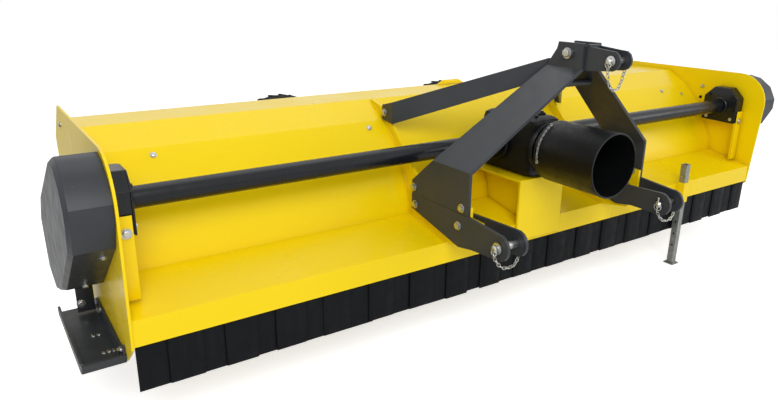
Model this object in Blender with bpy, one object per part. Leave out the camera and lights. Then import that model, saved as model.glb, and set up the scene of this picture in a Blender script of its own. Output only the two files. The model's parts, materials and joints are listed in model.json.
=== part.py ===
"""Hammer knife mower for a tractor's three-point linkage, parked on its stand and rear roller.

Metres, +Z up. X runs along the working width, the tractor side faces -Y and the ground is Z = 0.
Inside the script Y is measured from the hood's front lip; one datum empty then centres the machine.
"""
import math

import bmesh
import bpy
from mathutils import Matrix, Vector

# Driving dimensions of the frame
SPAN = 3.2
GAP = 0.0003
RIB_NOSE_BACK = 0.160
RIB_NOSE_FOOT = 0.020
RIB_NOSE_RISE = 0.170
RIB_SADDLE = 0.115
INNER_NOSE_RISE = 0.100
PLATE_T = 0.008
HOOD_T = 0.005
LIP_Z = 0.413
LIP_HEIGHT = 0.083
SLOPE_REACH = 0.235
SLOPE_RISE = 0.047
BEND_Y = 0.245
BEND_Z = 0.528
APRON_Z = 0.712
APRON_Y = 0.34
SHOULDER_Z = 0.800
SHOULDER_Y = 0.430
TOP_Z = 0.867
TOP_FRONT_Y = 0.545
TOP_REAR_Y = 0.74
REAR_WALL_Z = 0.47
PLATE_TOP_Z = 0.892
PLATE_FRONT_Y = -0.022
PLATE_BOTTOM_Z = 0.232
PLATE_TOE_Z = 0.322
PLATE_TOE_Y = 0.110
PLATE_CORNER = 0.150
PLATE_REAR_Y = 0.860
PLATE_TAIL_Y = 1.020
PLATE_TAIL_Z = 0.750
PLATE_HEEL = (0.985, 0.500)

# Rotor and its hammers
ROTOR_Y = 0.475
ROTOR_Z = 0.45
ROTOR_TUBE_R = 0.068
ROTOR_END_ROOM = 0.100
STUB_R = 0.025
LUG_PIN_R = 0.12
LUG_HALF_WIDTH = 0.017
LUG_T = 0.012
LUG_SINK = 0.008
HAMMER_COUNT = 12
HAMMER_ANGLES = (45.0, 225.0, 135.0, 315.0)
HAMMER_REACH = 0.08
HAMMER_HALF_WIDTH = 0.045
HAMMER_HALF_T = 0.011
EAR_R = 0.021
EAR_T = 0.011
HAMMER_BOLT_R = 0.008
BLADE_START = 0.046
BLADE_EDGE = 0.006

# Drive line
AXIS_Z = 0.717
CROSS_Y = 0.18
TUBE_R = 0.034
TUBE_BORE_R = 0.028
CROSS_SHAFT_R = 0.022
GEARBOX_HALF_X = 0.080
GEARBOX_EDGE = 0.030
GEARBOX_NECK_REACH = 0.030
GEARBOX_FRONT_Y = -0.045
GEARBOX_REAR_Y = 0.285
GEARBOX_HALF_Z = 0.118
STOOL_HALF = 0.122
STOOL_FOOT_Z = 0.345
STOOL_CHEEK_X = 0.050
INPUT_NECK_R = 0.078
INPUT_SHAFT_R = 0.0175
OUTPUT_NECK_R = 0.060
INPUT_SHAFT_FRONT_Y = -0.170
INPUT_SEAT = 0.020
GROOVE_BACK = 0.029
GROOVE_W = 0.016
GROOVE_DEPTH = 0.004
SHIELD_R = 0.118
SHIELD_T = 0.004
SHIELD_FRONT_Y = -0.338
SHIELD_REAR_Y = -0.038
SHIELD_ROUNDING = 0.012
DRIVE_PULLEY_R = 0.112
ROTOR_PULLEY_R = 0.078
PULLEY_FLANGE = 0.010
PULLEY_X = 1.636
PULLEY_W = 0.056
BELT_T = 0.008
BELT_PLAY = 0.001
SHAFT_ROOM = 0.004
CROSS_SHAFT_START = 0.040
PULLEY_LIP = 0.006
PULLEY_STUB = 0.008
BEARING_W = 0.0557
BEARING_HALF = 0.093
BEARING_RISE = 0.098
BEARING_DROP = 0.082
BEARING_CHAMFER = 0.050
CONSOLE_REACH = 0.052
CONSOLE_DROP = 0.198
ROTOR_BEARING_R = 0.065
ROTOR_BEARING_DEPTH = 0.026
GUARD_DEPTH = 0.12
GUARD_T = 0.003
GUARD_BEVEL = 0.012

# Headstock
PIN_HALF_SPACING = 0.435
CLEVIS_HALF_GAP = 0.035
HITCH_T = 0.012
RIB_T = 0.012
ARM_T = 0.012
STAY_T = 0.010
HITCH_PIN_Y = -0.285
HITCH_PIN_Z = 0.492
HITCH_PIN_R = 0.014
HITCH_TOP_Z = 0.5525
HITCH_REAR_Y = 0.210
HITCH_FRONT_Y = -0.123
HITCH_HEEL_Z = 0.492
THROAT_Y = -0.154
THROAT_RISE = 0.013
HITCH_BELLY_Y = -0.079
HITCH_BELLY_Z = 0.425
INNER_REAR_Y = 0.150
INNER_TOP_Z = 0.520
INNER_BELLY_Z = 0.437
HEAD_Y = -0.130
HEAD_Z = 1.094
HEAD_HALF_X = 0.035
HEAD_BOLT_R = 0.012
HEAD_NUT_R = 0.019
HEAD_NUT_T = 0.012
BEND_LOW_Z = 0.703
BEND_HIGH_DROP = 0.058
HEAD_RISE = 0.036
HEAD_FRONT = 0.059
HEAD_REAR = 0.062
HEAD_SPREAD = 0.106
KNEE_REAR_Y = 0.085
TOP_PIN_DROP = 0.014
ARM_HIP_Z = 0.605
ARM_FRONT_Y = -0.125
ARM_REAR_Y = 0.209
ARM_TOE = 0.005
ARM_BOLTS = ((0.195, 0.580), (-0.091, 0.576))
OUTER_PLATE_BOLTS = ((0.185, 0.512), (-0.076, 0.506))
INNER_PLATE_BOLTS = ((-0.043, 0.508),)
STAY_END = 0.064
STAY_BEND = 0.116
STAY_DROP = 0.106
STAY_W = 0.077
STAY_FOOT_REACH = 0.070
STAY_FOOT_Z = 0.795
TOP_PIN_Y = -0.303
TOP_PIN_R = 0.0125
TOP_CLEVIS_HALF = 0.026
BRACKET_T = 0.008
BRACKET_REAR = 0.033
BRACKET_BACK = 0.058
BRACKET_WEB_T = 0.015
PIN_OVERHANG = 0.018
PIN_CHAMFER = 0.006
PIN_COLLAR = 0.008
PIN_LUG = 0.016
BOSS_WALL = 0.010
BOLT_R = 0.009
BOLT_HEAD = 0.009

# Ground contact and rear
SKID_W = 0.124
SKID_TOP_Z = 0.280
SKID_SOLE_Z = 0.222
SKID_T = 0.008
SKID_FRONT_Y = 0.085
SKID_REAR_Y = 0.56
SKID_LIP = 0.030
SKID_NOSE = 0.045
SKID_TAIL = 0.060
ROLLER_R = 0.085
ROLLER_Y = 0.865
ROLLER_END_ROOM = 0.140
ROLLER_SHAFT_R = 0.020
STAND_X = 0.975
STAND_Y = -0.018
STAND_SIDE = 0.030
STAND_WALL = 0.003
STAND_TOP_Z = 0.513
STAND_HOLE_R = 0.006
STAND_HOLES_Z = (0.100, 0.160, 0.220, 0.455)
FOOT_SIDE = 0.050
FOOT_T = 0.006
SLEEVE_T = 0.005
SLEEVE_RISE = 0.012
SLEEVE_DROP = 0.004
FLAP_ROD_R = 0.005
FLAP_Y = 0.0125
FLAP_ROD_Z = 0.385
FLAP_T = 0.006
FLAP_BOTTOM_Z = 0.172
FLAP_STRIP = 0.098
FLAP_SLIT = 0.002
FLAP_HEM = 0.035
FLAP_PLAY = 0.002
WHEEL_R = 0.260
WHEEL_W = 0.150
WHEEL_X = (-0.63, 0.33)
WHEEL_Y = 1.065
WHEEL_Z = 0.562
SPINDLE_R = 0.020
HUB_R = 0.047
HUB_INSET = 0.030
DISH = 0.020
PIVOT_BACK = 0.044
PIVOT_FLANGE_R = 0.070
ARM_PLATE_T = 0.018
ARM_LENGTH = 0.300
ARM_BAR = 0.030
PIVOT_R = 0.030

ROUND = 24
SMALL_ROUND = 12
BELT_STEPS = 16
BEARING_SEAT = 0.012
INNER_X = SPAN / 2 - PLATE_T - GAP
ARM_INNER_X = PIN_HALF_SPACING + CLEVIS_HALF_GAP
ARM_LOW_Z = HITCH_TOP_Z + GAP
TOP_PIN_Z = HEAD_Z - TOP_PIN_DROP
ROTOR_TUBE_HALF = SPAN / 2 - ROTOR_END_ROOM
LUG_SPACING = 2 * ROTOR_TUBE_HALF / HAMMER_COUNT
ROLLER_HALF = SPAN / 2 - ROLLER_END_ROOM
TUBE_END_X = INNER_X - BEARING_W + BEARING_SEAT
ROLLER_Z = ROLLER_R * math.cos(math.pi / ROUND)
EYE_R = 0.034
NOSE_R = 0.047
FRONT_Y = min(SHIELD_FRONT_Y, TOP_PIN_Y - EYE_R, HITCH_PIN_Y - NOSE_R)
DATUM_Y = -(FRONT_Y + WHEEL_Y + WHEEL_W / 2) / 2

LIP_LOW = (0.0, LIP_Z - LIP_HEIGHT)
LIP_FOLD = (0.0, LIP_Z)
WALL_FOOT = (SLOPE_REACH, LIP_Z + SLOPE_RISE)
WALL_BEND = (BEND_Y, BEND_Z)
APRON = (APRON_Y, APRON_Z)
SHOULDER = (SHOULDER_Y, SHOULDER_Z)
TOP_FRONT = (TOP_FRONT_Y, TOP_Z)
TOP_REAR = (TOP_REAR_Y, TOP_Z)
REAR_LOW = (TOP_REAR_Y, REAR_WALL_Z)
GUARD_LINE = [(0.028, 0.630), (0.330, 0.405), (0.515, 0.330), (0.665, 0.360), (0.693, 0.545), (0.578, 0.655),
              (0.185, 0.862), (0.134, 0.877), (0.079, 0.866), (0.020, 0.825), (-0.012, 0.765), (-0.012, 0.715)]
HOOD_LINE = [LIP_LOW, LIP_FOLD, WALL_FOOT, WALL_BEND, APRON, SHOULDER, TOP_FRONT, TOP_REAR, REAR_LOW]


def clear_scene():
    """Remove every object that the file starts with."""
    for item in list(bpy.data.objects):
        bpy.data.objects.remove(item, do_unlink=True)


def bore_for(radius, sides=ROUND):
    """Corner radius of a bore whose flats clear a shaft by the running gap."""
    return (radius + GAP) / math.cos(math.pi / sides)


def finish(name, colour, roughness, metallic):
    """Make one plain finish."""
    material = bpy.data.materials.new(name)
    material.use_nodes = True
    shader = material.node_tree.nodes["Principled BSDF"]
    shader.inputs["Base Color"].default_value = (*colour, 1.0)
    shader.inputs["Roughness"].default_value = roughness
    shader.inputs["Metallic"].default_value = metallic
    return material


def yellow_paint():
    """Gloss yellow coat of the hood and side plates."""
    return finish("yellow_paint", (0.87, 0.72, 0.02), 0.30, 0.0)


def charcoal_paint():
    """Dark grey coat of the headstock, stays and belt guards."""
    return finish("charcoal_paint", (0.055, 0.058, 0.062), 0.40, 0.0)


def black_paint():
    """Black coat of the gearbox and the cross tubes."""
    return finish("black_paint", (0.015, 0.015, 0.017), 0.45, 0.0)


def rubber():
    """Black rubber of the curtain, belts and tyres."""
    return finish("rubber", (0.02, 0.02, 0.02), 0.75, 0.0)


def black_plastic():
    """Moulded black plastic of the shaft shield."""
    return finish("black_plastic", (0.012, 0.012, 0.012), 0.50, 0.0)


def zinc_steel():
    """Zinc-plated pins, bolts and the parking stand."""
    return finish("zinc_steel", (0.55, 0.55, 0.53), 0.38, 0.9)


def bare_steel():
    """Bare steel of the shafts, rotor and hammers."""
    return finish("bare_steel", (0.32, 0.31, 0.30), 0.50, 0.85)


def new_object(name, mesh, material, origin, parent):
    """Link one object whose origin lies at a point of the machine."""
    item = bpy.data.objects.new(name, mesh)
    item.location = origin
    item.parent = parent
    if material is not None:
        mesh.materials.append(material)
    bpy.context.scene.collection.objects.link(item)
    return item


def tidy_mesh(bm, name, smooth=True):
    """Point the faces outwards, smooth the round walls and return the mesh."""
    bmesh.ops.recalc_face_normals(bm, faces=bm.faces)
    mesh = bpy.data.meshes.new(name)
    bm.to_mesh(mesh)
    bm.free()
    if smooth:
        mesh.shade_smooth()
        mesh.set_sharp_from_angle(angle=math.radians(30))
    return mesh


def ring_solid(name, rings):
    """Close a stack of rings, each a list of points, into one solid."""
    bm = bmesh.new()
    loops = [[bm.verts.new(point) for point in ring] for ring in rings]
    count = len(loops[0])
    for low, high in zip(loops, loops[1:]):
        for index in range(count):
            other = (index + 1) % count
            bm.faces.new((low[index], low[other], high[other], high[index]))
    bm.faces.new(loops[0])
    bm.faces.new(loops[-1])
    return tidy_mesh(bm, name)


def ring_loop(name, rings):
    """Close a stack of rings onto itself, so that the solid has an opening through its middle."""
    bm = bmesh.new()
    loops = [[bm.verts.new(point) for point in ring] for ring in rings]
    count = len(loops[0])
    for low, high in zip(loops, loops[1:] + loops[:1]):
        for index in range(count):
            other = (index + 1) % count
            bm.faces.new((low[index], low[other], high[other], high[index]))
    return tidy_mesh(bm, name)


def prism(name, outline, low, high):
    """Extrude an outline in Y and Z from one X to another."""
    return ring_solid(name, [[(x, y, z) for y, z in outline] for x in (low, high)])


def rectangle(front, rear, low, high):
    """Counter-clockwise rectangle in Y and Z."""
    return [(front, low), (rear, low), (rear, high), (front, high)]


def block(name, low, high):
    """Make a box between two corners."""
    return prism(name, rectangle(low[1], high[1], low[2], high[2]), low[0], high[0])


AXIS_TURN = {
    "X": Matrix.Rotation(math.radians(90), 4, "Y"),
    "Y": Matrix.Rotation(math.radians(-90), 4, "X"),
    "Z": Matrix.Identity(4),
}


def turned_rings(profile, axis, sides):
    """Rings of points round an axis through the origin, one for each radius and place pair."""
    turn = AXIS_TURN[axis]
    rings = []
    for radius, along in profile:
        ring = []
        for index in range(sides):
            angle = 2 * math.pi * (index + 0.5) / sides
            ring.append(turn @ Vector((radius * math.cos(angle), radius * math.sin(angle), along)))
        rings.append(ring)
    return rings


def turned(name, profile, axis, sides=ROUND):
    """Turn an open profile into a solid bar."""
    return ring_solid(name, turned_rings(profile, axis, sides))


def turned_hollow(name, profile, axis):
    """Turn a closed profile into a solid with a bore."""
    return ring_loop(name, turned_rings(profile, axis, ROUND))


def rod(name, radius, low, high, axis, sides=ROUND):
    """Make a plain round bar from one place to another along an axis."""
    return turned(name, [(radius, low), (radius, high)], axis, sides)


def guide(item):
    """Mark an object as a tool for a Boolean, not a piece of the machine."""
    item.hide_render = True
    item.display_type = "WIRE"
    return item


def combine(target, mesh, place, parent, operation):
    """Add a mesh to a piece, or cut it out, through a Boolean."""
    tool = guide(new_object(f"{mesh.name}_tool", mesh, None, place, parent))
    change = target.modifiers.new(mesh.name, "BOOLEAN")
    change.operation = operation
    change.solver = "EXACT"
    change.object = tool


def add(target, mesh, place=(0.0, 0.0, 0.0), parent=None):
    """Weld a mesh onto a piece."""
    combine(target, mesh, place, parent or target.parent, "UNION")


def cut(target, mesh, place=(0.0, 0.0, 0.0), parent=None):
    """Cut a mesh out of a piece."""
    combine(target, mesh, place, parent or target.parent, "DIFFERENCE")


def offset_line(points, distance):
    """Move an open line sideways, to the left of its direction."""
    moved = []
    for index, point in enumerate(points):
        here = Vector(point)
        normals = []
        if index > 0:
            step = (here - Vector(points[index - 1])).normalized()
            normals.append(Vector((-step.y, step.x)))
        if index < len(points) - 1:
            step = (Vector(points[index + 1]) - here).normalized()
            normals.append(Vector((-step.y, step.x)))
        normal = sum(normals, Vector((0.0, 0.0))).normalized()
        moved.append(tuple(here + normal * (distance / normal.dot(normals[0]))))
    return moved


def offset_outline(points, distance):
    """Shrink a closed counter-clockwise outline by a distance."""
    wrapped = [points[-1], *points, points[0]]
    return offset_line(wrapped, distance)[1:-1]


def arc(centre, radius, start, end, steps):
    """Points of an arc in Y and Z, angles in degrees."""
    points = []
    for index in range(steps + 1):
        angle = math.radians(start + (end - start) * index / steps)
        points.append((centre[0] + radius * math.cos(angle), centre[1] + radius * math.sin(angle)))
    return points


def hood_depth(height):
    """Y of the hood's front face at a height between the wall's bend and the apron."""
    share = (height - BEND_Z) / (APRON_Z - BEND_Z)
    return BEND_Y + share * (APRON_Y - BEND_Y)


def bolt(target, x, y, z, direction):
    """Put a hexagon head on a plate's outer face."""
    sign = 1 if direction > 0 else -1
    profile = [(BOLT_R, -sign * HITCH_T / 3), (BOLT_R, sign * BOLT_HEAD)]
    add(target, turned(f"{target.name}_bolt", profile, "X", 6), (x, y, z))


def rib_outline(inner):
    """Outline of a rib on the hood, tall for the outer one and short for the inner one."""
    sink = HOOD_T / 2
    seat = offset_line(HOOD_LINE, -sink)
    nose_y = HITCH_PIN_Y + RIB_NOSE_BACK
    low_nose = (nose_y, LIP_Z + RIB_NOSE_FOOT)
    if inner:
        return [seat[1], low_nose, (nose_y, LIP_Z + INNER_NOSE_RISE), seat[3], seat[2]]
    return [seat[1], low_nose, (nose_y, LIP_Z + RIB_NOSE_RISE), (CROSS_Y, AXIS_Z - RIB_SADDLE),
            (SHOULDER_Y, TOP_Z - RIB_NOSE_FOOT), (TOP_FRONT_Y - RIB_NOSE_FOOT, TOP_Z), *seat[6:1:-1]]


def make_hood(parent, paint):
    """Folded hood sheet with the ribs of the headstock and the sleeve of the stand."""
    inner = offset_line(HOOD_LINE, -HOOD_T)
    sheet = prism("hood", HOOD_LINE + inner[::-1], -INNER_X, INNER_X)
    hood = new_object("hood", sheet, paint, (0, 0, 0), parent)
    outer_rib = PIN_HALF_SPACING + CLEVIS_HALF_GAP - GAP
    inner_rib = PIN_HALF_SPACING - CLEVIS_HALF_GAP + GAP
    for side in (-1, 1):
        tall = prism(f"tall_rib_{side + 1}", rib_outline(False), side * (outer_rib - RIB_T), side * outer_rib)
        add(hood, tall)
        low = side * inner_rib
        short = prism(f"short_rib_{side + 1}", rib_outline(True), low, low + side * RIB_T)
        add(hood, short)
    room = STAND_SIDE / 2 + GAP
    wall = room + SLEEVE_T
    foot = LIP_Z - LIP_HEIGHT - SLEEVE_DROP
    sleeve = block("stand_sleeve", (-wall, -wall, foot), (wall, wall, LIP_Z + SLEEVE_RISE))
    add(hood, sleeve, (STAND_X, STAND_Y, 0))
    cut(hood, block("stand_hole", (-room, -room, 0), (room, room, 1)), (STAND_X, STAND_Y, 0))
    return hood


def plate_outline():
    """Outline of a side plate, with its rounded front and the roller arm at the rear."""
    corner = (PLATE_FRONT_Y + PLATE_CORNER, PLATE_TOP_Z - PLATE_CORNER)
    foot = 2 * ROLLER_SHAFT_R
    return [
        (0.0, PLATE_TOE_Z),
        (PLATE_TOE_Y, PLATE_BOTTOM_Z),
        (SKID_REAR_Y, PLATE_BOTTOM_Z),
        (ROLLER_Y - foot, ROLLER_R - foot / 2),
        *arc((ROLLER_Y, ROLLER_Z), foot, 225, 360, 6),
        PLATE_HEEL,
        (PLATE_TAIL_Y, PLATE_TAIL_Z - foot),
        (PLATE_TAIL_Y, PLATE_TAIL_Z),
        (PLATE_REAR_Y, PLATE_TOP_Z),
        *arc(corner, PLATE_CORNER, 90, 180, 8),
    ]


def make_side_plate(parent, paint, side, label):
    """Side plate with holes for the cross shaft, the rotor and the roller."""
    low = side * (SPAN / 2 - PLATE_T)
    mesh = prism(f"side_plate_{label}", plate_outline(), low, side * SPAN / 2)
    plate = new_object(f"side_plate_{label}", mesh, paint, (0, 0, 0), parent)
    for name, radius, y, z in (("cross", CROSS_SHAFT_R + SHAFT_ROOM, CROSS_Y, AXIS_Z),
                               ("rotor", STUB_R + SHAFT_ROOM, ROTOR_Y, ROTOR_Z),
                               ("roller", bore_for(ROLLER_SHAFT_R), ROLLER_Y, ROLLER_Z)):
        hole = rod(f"{label}_{name}_hole", radius, -PLATE_T * 2, PLATE_T * 2, "X")
        cut(plate, hole, (side * SPAN / 2, y, z))
    shelf_z = AXIS_Z - BEARING_DROP - GAP
    foot_z = shelf_z - CONSOLE_DROP
    front = CROSS_Y - BEARING_HALF - PLATE_T / 2
    rear = CROSS_Y + BEARING_HALF
    sunk = side * (SPAN / 2 - PLATE_T / 2)
    edge = side * (SPAN / 2 - PLATE_T - CONSOLE_REACH)
    add(plate, prism(f"{label}_shelf", rectangle(front, rear, shelf_z - PLATE_T, shelf_z), edge, sunk))
    add(plate, prism(f"{label}_flange", rectangle(front, front + PLATE_T, foot_z, shelf_z), edge, sunk))
    return plate


def make_gearbox_mount(parent, paint):
    """Open-sided stool that carries the gearbox: a front plate, a shelf and two cheeks set back inside."""
    half = STOOL_HALF
    shelf_z = AXIS_Z - GEARBOX_HALF_Z - GAP
    seat = offset_line(HOOD_LINE, GAP)
    face = -GAP - HITCH_T
    middle = face + HITCH_T / 2
    back = (hood_depth(shelf_z - HITCH_T) - GAP * 3, shelf_z - HITCH_T)
    front = rectangle(face, -GAP, STOOL_FOOT_Z, shelf_z)
    mount = new_object("gearbox_mount", prism("gearbox_mount", front, -half, half), paint, (0, 0, 0), parent)
    add(mount, prism("mount_shelf", rectangle(face, back[0], back[1], shelf_z), -half, half))
    cheek = [(middle, seat[1][1]), *seat[1:4], back, (middle, back[1] + HITCH_T / 2)]
    for side in (-1, 1):
        low = side * STOOL_CHEEK_X
        add(mount, prism(f"mount_cheek_{side + 1}", cheek, low, low + side * HITCH_T))
    return mount


def strip(name, stations, thickness):
    """Bend a flat bar along stations of X, Z and its front and rear Y, and give it a thickness outwards."""
    line = [(x, z) for x, z, front, rear in stations]
    other = offset_line(line, thickness)
    rings = []
    for (x, z, front, rear), (outer_x, outer_z) in zip(stations, other):
        rings.append([(x, front, z), (x, rear, z), (outer_x, rear, outer_z), (outer_x, front, outer_z)])
    return ring_solid(name, rings)


def mirrored(mesh, side):
    """Turn a right-hand mesh into the left-hand one where the side asks for it."""
    if side < 0:
        mesh.transform(Matrix.Scale(-1, 4, (1, 0, 0)))
        mesh.flip_normals()
    return mesh

def make_mast_arm(parent, paint, side, label):
    """Bent flat arm from the hitch plates up to the head of the mast."""
    stations = [
        (ARM_INNER_X, ARM_LOW_Z, ARM_FRONT_Y, ARM_REAR_Y - ARM_TOE),
        (ARM_INNER_X, ARM_HIP_Z, ARM_FRONT_Y, ARM_REAR_Y),
        (ARM_INNER_X, BEND_LOW_Z, ARM_FRONT_Y, KNEE_REAR_Y),
        (HEAD_HALF_X, HEAD_Z - BEND_HIGH_DROP, HEAD_Y - HEAD_FRONT, HEAD_Y + HEAD_SPREAD),
        (HEAD_HALF_X, HEAD_Z + ARM_T, HEAD_Y - HEAD_FRONT, HEAD_Y + HEAD_REAR),
        (HEAD_HALF_X, HEAD_Z + HEAD_RISE, HEAD_Y - HEAD_FRONT, HEAD_Y + HEAD_REAR - ARM_T / 2),
    ]
    mesh = mirrored(strip(f"mast_arm_{label}", stations, -ARM_T), side)
    arm = new_object(f"mast_arm_{label}", mesh, paint, (0, 0, 0), parent)
    cut(arm, rod(f"{label}_head_hole", bore_for(HEAD_BOLT_R), -ARM_T * 2, ARM_T * 2, "X"),
        (side * HEAD_HALF_X, HEAD_Y, HEAD_Z))
    face = side * (ARM_INNER_X + ARM_T)
    for y, z in ARM_BOLTS:
        bolt(arm, face, y, z, side)
    return arm


def make_back_stay(parent, paint, side, label):
    """Flat stay from the hood's rear edge to the head of the mast."""
    foot_x = PIN_HALF_SPACING + CLEVIS_HALF_GAP
    head_x = HEAD_HALF_X - GAP - STAY_T
    stations = [
        (foot_x, SHOULDER_Y, STAY_FOOT_Z + STAY_T, STAY_FOOT_Z + STAY_W - STAY_T),
        (foot_x, SHOULDER_Y - STAY_FOOT_REACH, STAY_FOOT_Z, STAY_FOOT_Z + STAY_W + STAY_T),
        (head_x, HEAD_Y + STAY_BEND, HEAD_Z - STAY_DROP, HEAD_Z - STAY_DROP + STAY_W),
        (head_x, HEAD_Y + STAY_END, HEAD_Z - STAY_DROP, HEAD_Z - STAY_DROP + STAY_W),
    ]
    line = [(x, y) for x, y, low, high in stations]
    other = offset_line(line, STAY_T)
    rings = []
    for (x, y, low, high), (outer_x, outer_y) in zip(stations, other):
        rings.append([(x, y, low), (x, y, high), (outer_x, outer_y, high), (outer_x, outer_y, low)])
    mesh = mirrored(ring_solid(f"back_stay_{label}", rings), side)
    stay = new_object(f"back_stay_{label}", mesh, paint, (0, 0, 0), parent)
    bolt(stay, side * (foot_x + STAY_T), SHOULDER_Y - STAY_T * 2, STAY_FOOT_Z + STAY_W / 2, side)
    return stay


def make_head_bolt(parent, steel):
    """Cross bolt through the head of the mast, with its two heads."""
    end = HEAD_HALF_X + ARM_T + GAP
    profile = [(HEAD_NUT_R, -end - HEAD_NUT_T), (HEAD_NUT_R, -end), (HEAD_BOLT_R, -end), (HEAD_BOLT_R, end),
               (HEAD_NUT_R, end), (HEAD_NUT_R, end + HEAD_NUT_T)]
    mesh = turned("head_bolt", profile, "X", SMALL_ROUND)
    return new_object("head_bolt", mesh, steel, (0, HEAD_Y, HEAD_Z), parent)


def make_top_link_bracket(parent, paint):
    """Swinging bracket between the mast heads: two cheeks joined by a web behind the pin."""
    half = HEAD_HALF_X - GAP
    y_pin = TOP_PIN_Y - HEAD_Y
    z_pin = TOP_PIN_Z - HEAD_Z
    rear = BRACKET_REAR
    back = -BRACKET_BACK
    cheek = [(rear, -rear * 0.8), (rear, rear / 2), (-rear / 3, rear), (y_pin + EYE_R / 2, z_pin + EYE_R),
             *arc((y_pin, z_pin), EYE_R, 80, 260, 6), (back, back)]
    gap_half = TOP_CLEVIS_HALF
    head = (0, HEAD_Y, HEAD_Z)
    mesh = prism("top_link_bracket", cheek, gap_half, gap_half + BRACKET_T)
    bracket = new_object("top_link_bracket", mesh, paint, head, parent)
    add(bracket, prism("bracket_cheek", cheek, -gap_half - BRACKET_T, -gap_half), head)
    web = rectangle(back - BRACKET_WEB_T, back, back, rear)
    add(bracket, prism("bracket_web", web, -gap_half - BRACKET_T / 2, gap_half + BRACKET_T / 2), head)
    add(bracket, rod("bracket_boss", HEAD_BOLT_R + BOSS_WALL, -half, half, "X"), head)
    cut(bracket, rod("bracket_bore", bore_for(HEAD_BOLT_R), -HEAD_HALF_X, HEAD_HALF_X, "X"), head)
    pin_bore = rod("top_pin_bore", bore_for(TOP_PIN_R), -HEAD_HALF_X, HEAD_HALF_X, "X")
    cut(bracket, pin_bore, (0, TOP_PIN_Y, TOP_PIN_Z))
    return bracket


def make_pin(parent, steel, name, radius, half, origin, outward):
    """Drawbar pin with a collar and a lug for its chain on the outward end."""
    collar = half + PIN_COLLAR
    profile = [(radius * 0.7, -outward * (half + PIN_OVERHANG)),
               (radius, -outward * (half + PIN_OVERHANG - PIN_CHAMFER)),
               (radius, outward * (half + GAP)), (radius * 1.5, outward * (half + GAP)),
               (radius * 1.5, outward * collar), (radius * 0.8, outward * collar),
               (radius * 0.8, outward * (collar + PIN_LUG))]
    return new_object(name, turned(name, profile, "X", SMALL_ROUND), steel, origin, parent)


def hitch_outline(top_edge, belly):
    """Outline of a lower hitch plate round its pin, from its rear and top corners and its lowest Z."""
    return [(top_edge[0][0], HITCH_HEEL_Z), *top_edge, *arc((HITCH_PIN_Y, HITCH_PIN_Z), NOSE_R, 80, 250, 8),
            (THROAT_Y, belly + THROAT_RISE), (HITCH_BELLY_Y, belly)]


def make_hitch_plate(parent, paint, name, outline, low, high, bolts, bolt_side):
    """Lower hitch plate with its pin bore and the bolts on one of its faces."""
    plate = new_object(name, prism(name, outline, low, high), paint, (0, 0, 0), parent)
    bore_r = bore_for(HITCH_PIN_R, SMALL_ROUND)
    bore = rod(f"{name}_bore", bore_r, -HITCH_T * 2, HITCH_T * 2, "X", SMALL_ROUND)
    cut(plate, bore, (low, HITCH_PIN_Y, HITCH_PIN_Z))
    face = max(low, high, key=abs) if bolt_side > 0 else min(low, high, key=abs)
    direction = (1 if face > 0 else -1) * bolt_side
    for y, z in bolts:
        bolt(plate, face, y, z, direction)
    return plate


def make_gearbox(parent, paint):
    """Cast gearbox with round necks for the input and the two output tubes."""
    low = (-GEARBOX_HALF_X, GEARBOX_FRONT_Y + GEARBOX_NECK_REACH, AXIS_Z - GEARBOX_HALF_Z)
    high = (GEARBOX_HALF_X, GEARBOX_REAR_Y, AXIS_Z + GEARBOX_HALF_Z)
    gearbox = new_object("gearbox_housing", block("gearbox_housing", low, high), paint, (0, 0, 0), parent)
    edge = gearbox.modifiers.new("cast_edges", "BEVEL")
    edge.width = GEARBOX_EDGE
    edge.segments = 2
    add(gearbox, rod("input_neck", INPUT_NECK_R, GEARBOX_FRONT_Y, CROSS_Y / 2, "Y"), (0, 0, AXIS_Z))
    end = GEARBOX_HALF_X + GEARBOX_NECK_REACH
    add(gearbox, rod("output_necks", OUTPUT_NECK_R, -end, end, "X"),
        (0, CROSS_Y, AXIS_Z))
    add(gearbox, rod("level_plug", GEARBOX_NECK_REACH / 2, 0.0, GEARBOX_HALF_Z + PLATE_T, "Z", 6),
        (-GEARBOX_NECK_REACH, GEARBOX_NECK_REACH, AXIS_Z))
    input_bore = rod("input_bore", bore_for(INPUT_SHAFT_R), -CROSS_Y, INPUT_SEAT + GAP, "Y")
    cut(gearbox, input_bore, (0, 0, AXIS_Z))
    output_bore = rod("output_bore", bore_for(CROSS_SHAFT_R), -end - GAP, end + GAP, "X")
    cut(gearbox, output_bore, (0, CROSS_Y, AXIS_Z))
    return gearbox


def make_input_shaft(parent, steel):
    """Splined input shaft, with a locking groove near its end."""
    front = INPUT_SHAFT_FRONT_Y
    near = front + GROOVE_BACK
    far = near + GROOVE_W
    core = INPUT_SHAFT_R - GROOVE_DEPTH
    profile = [(INPUT_SHAFT_R, INPUT_SEAT), (INPUT_SHAFT_R, far), (core, far - GROOVE_DEPTH),
               (core, near + GROOVE_DEPTH), (INPUT_SHAFT_R, near), (INPUT_SHAFT_R, front)]
    return new_object("input_shaft", turned("input_shaft", profile, "Y"), steel, (0, 0, AXIS_Z), parent)


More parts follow.
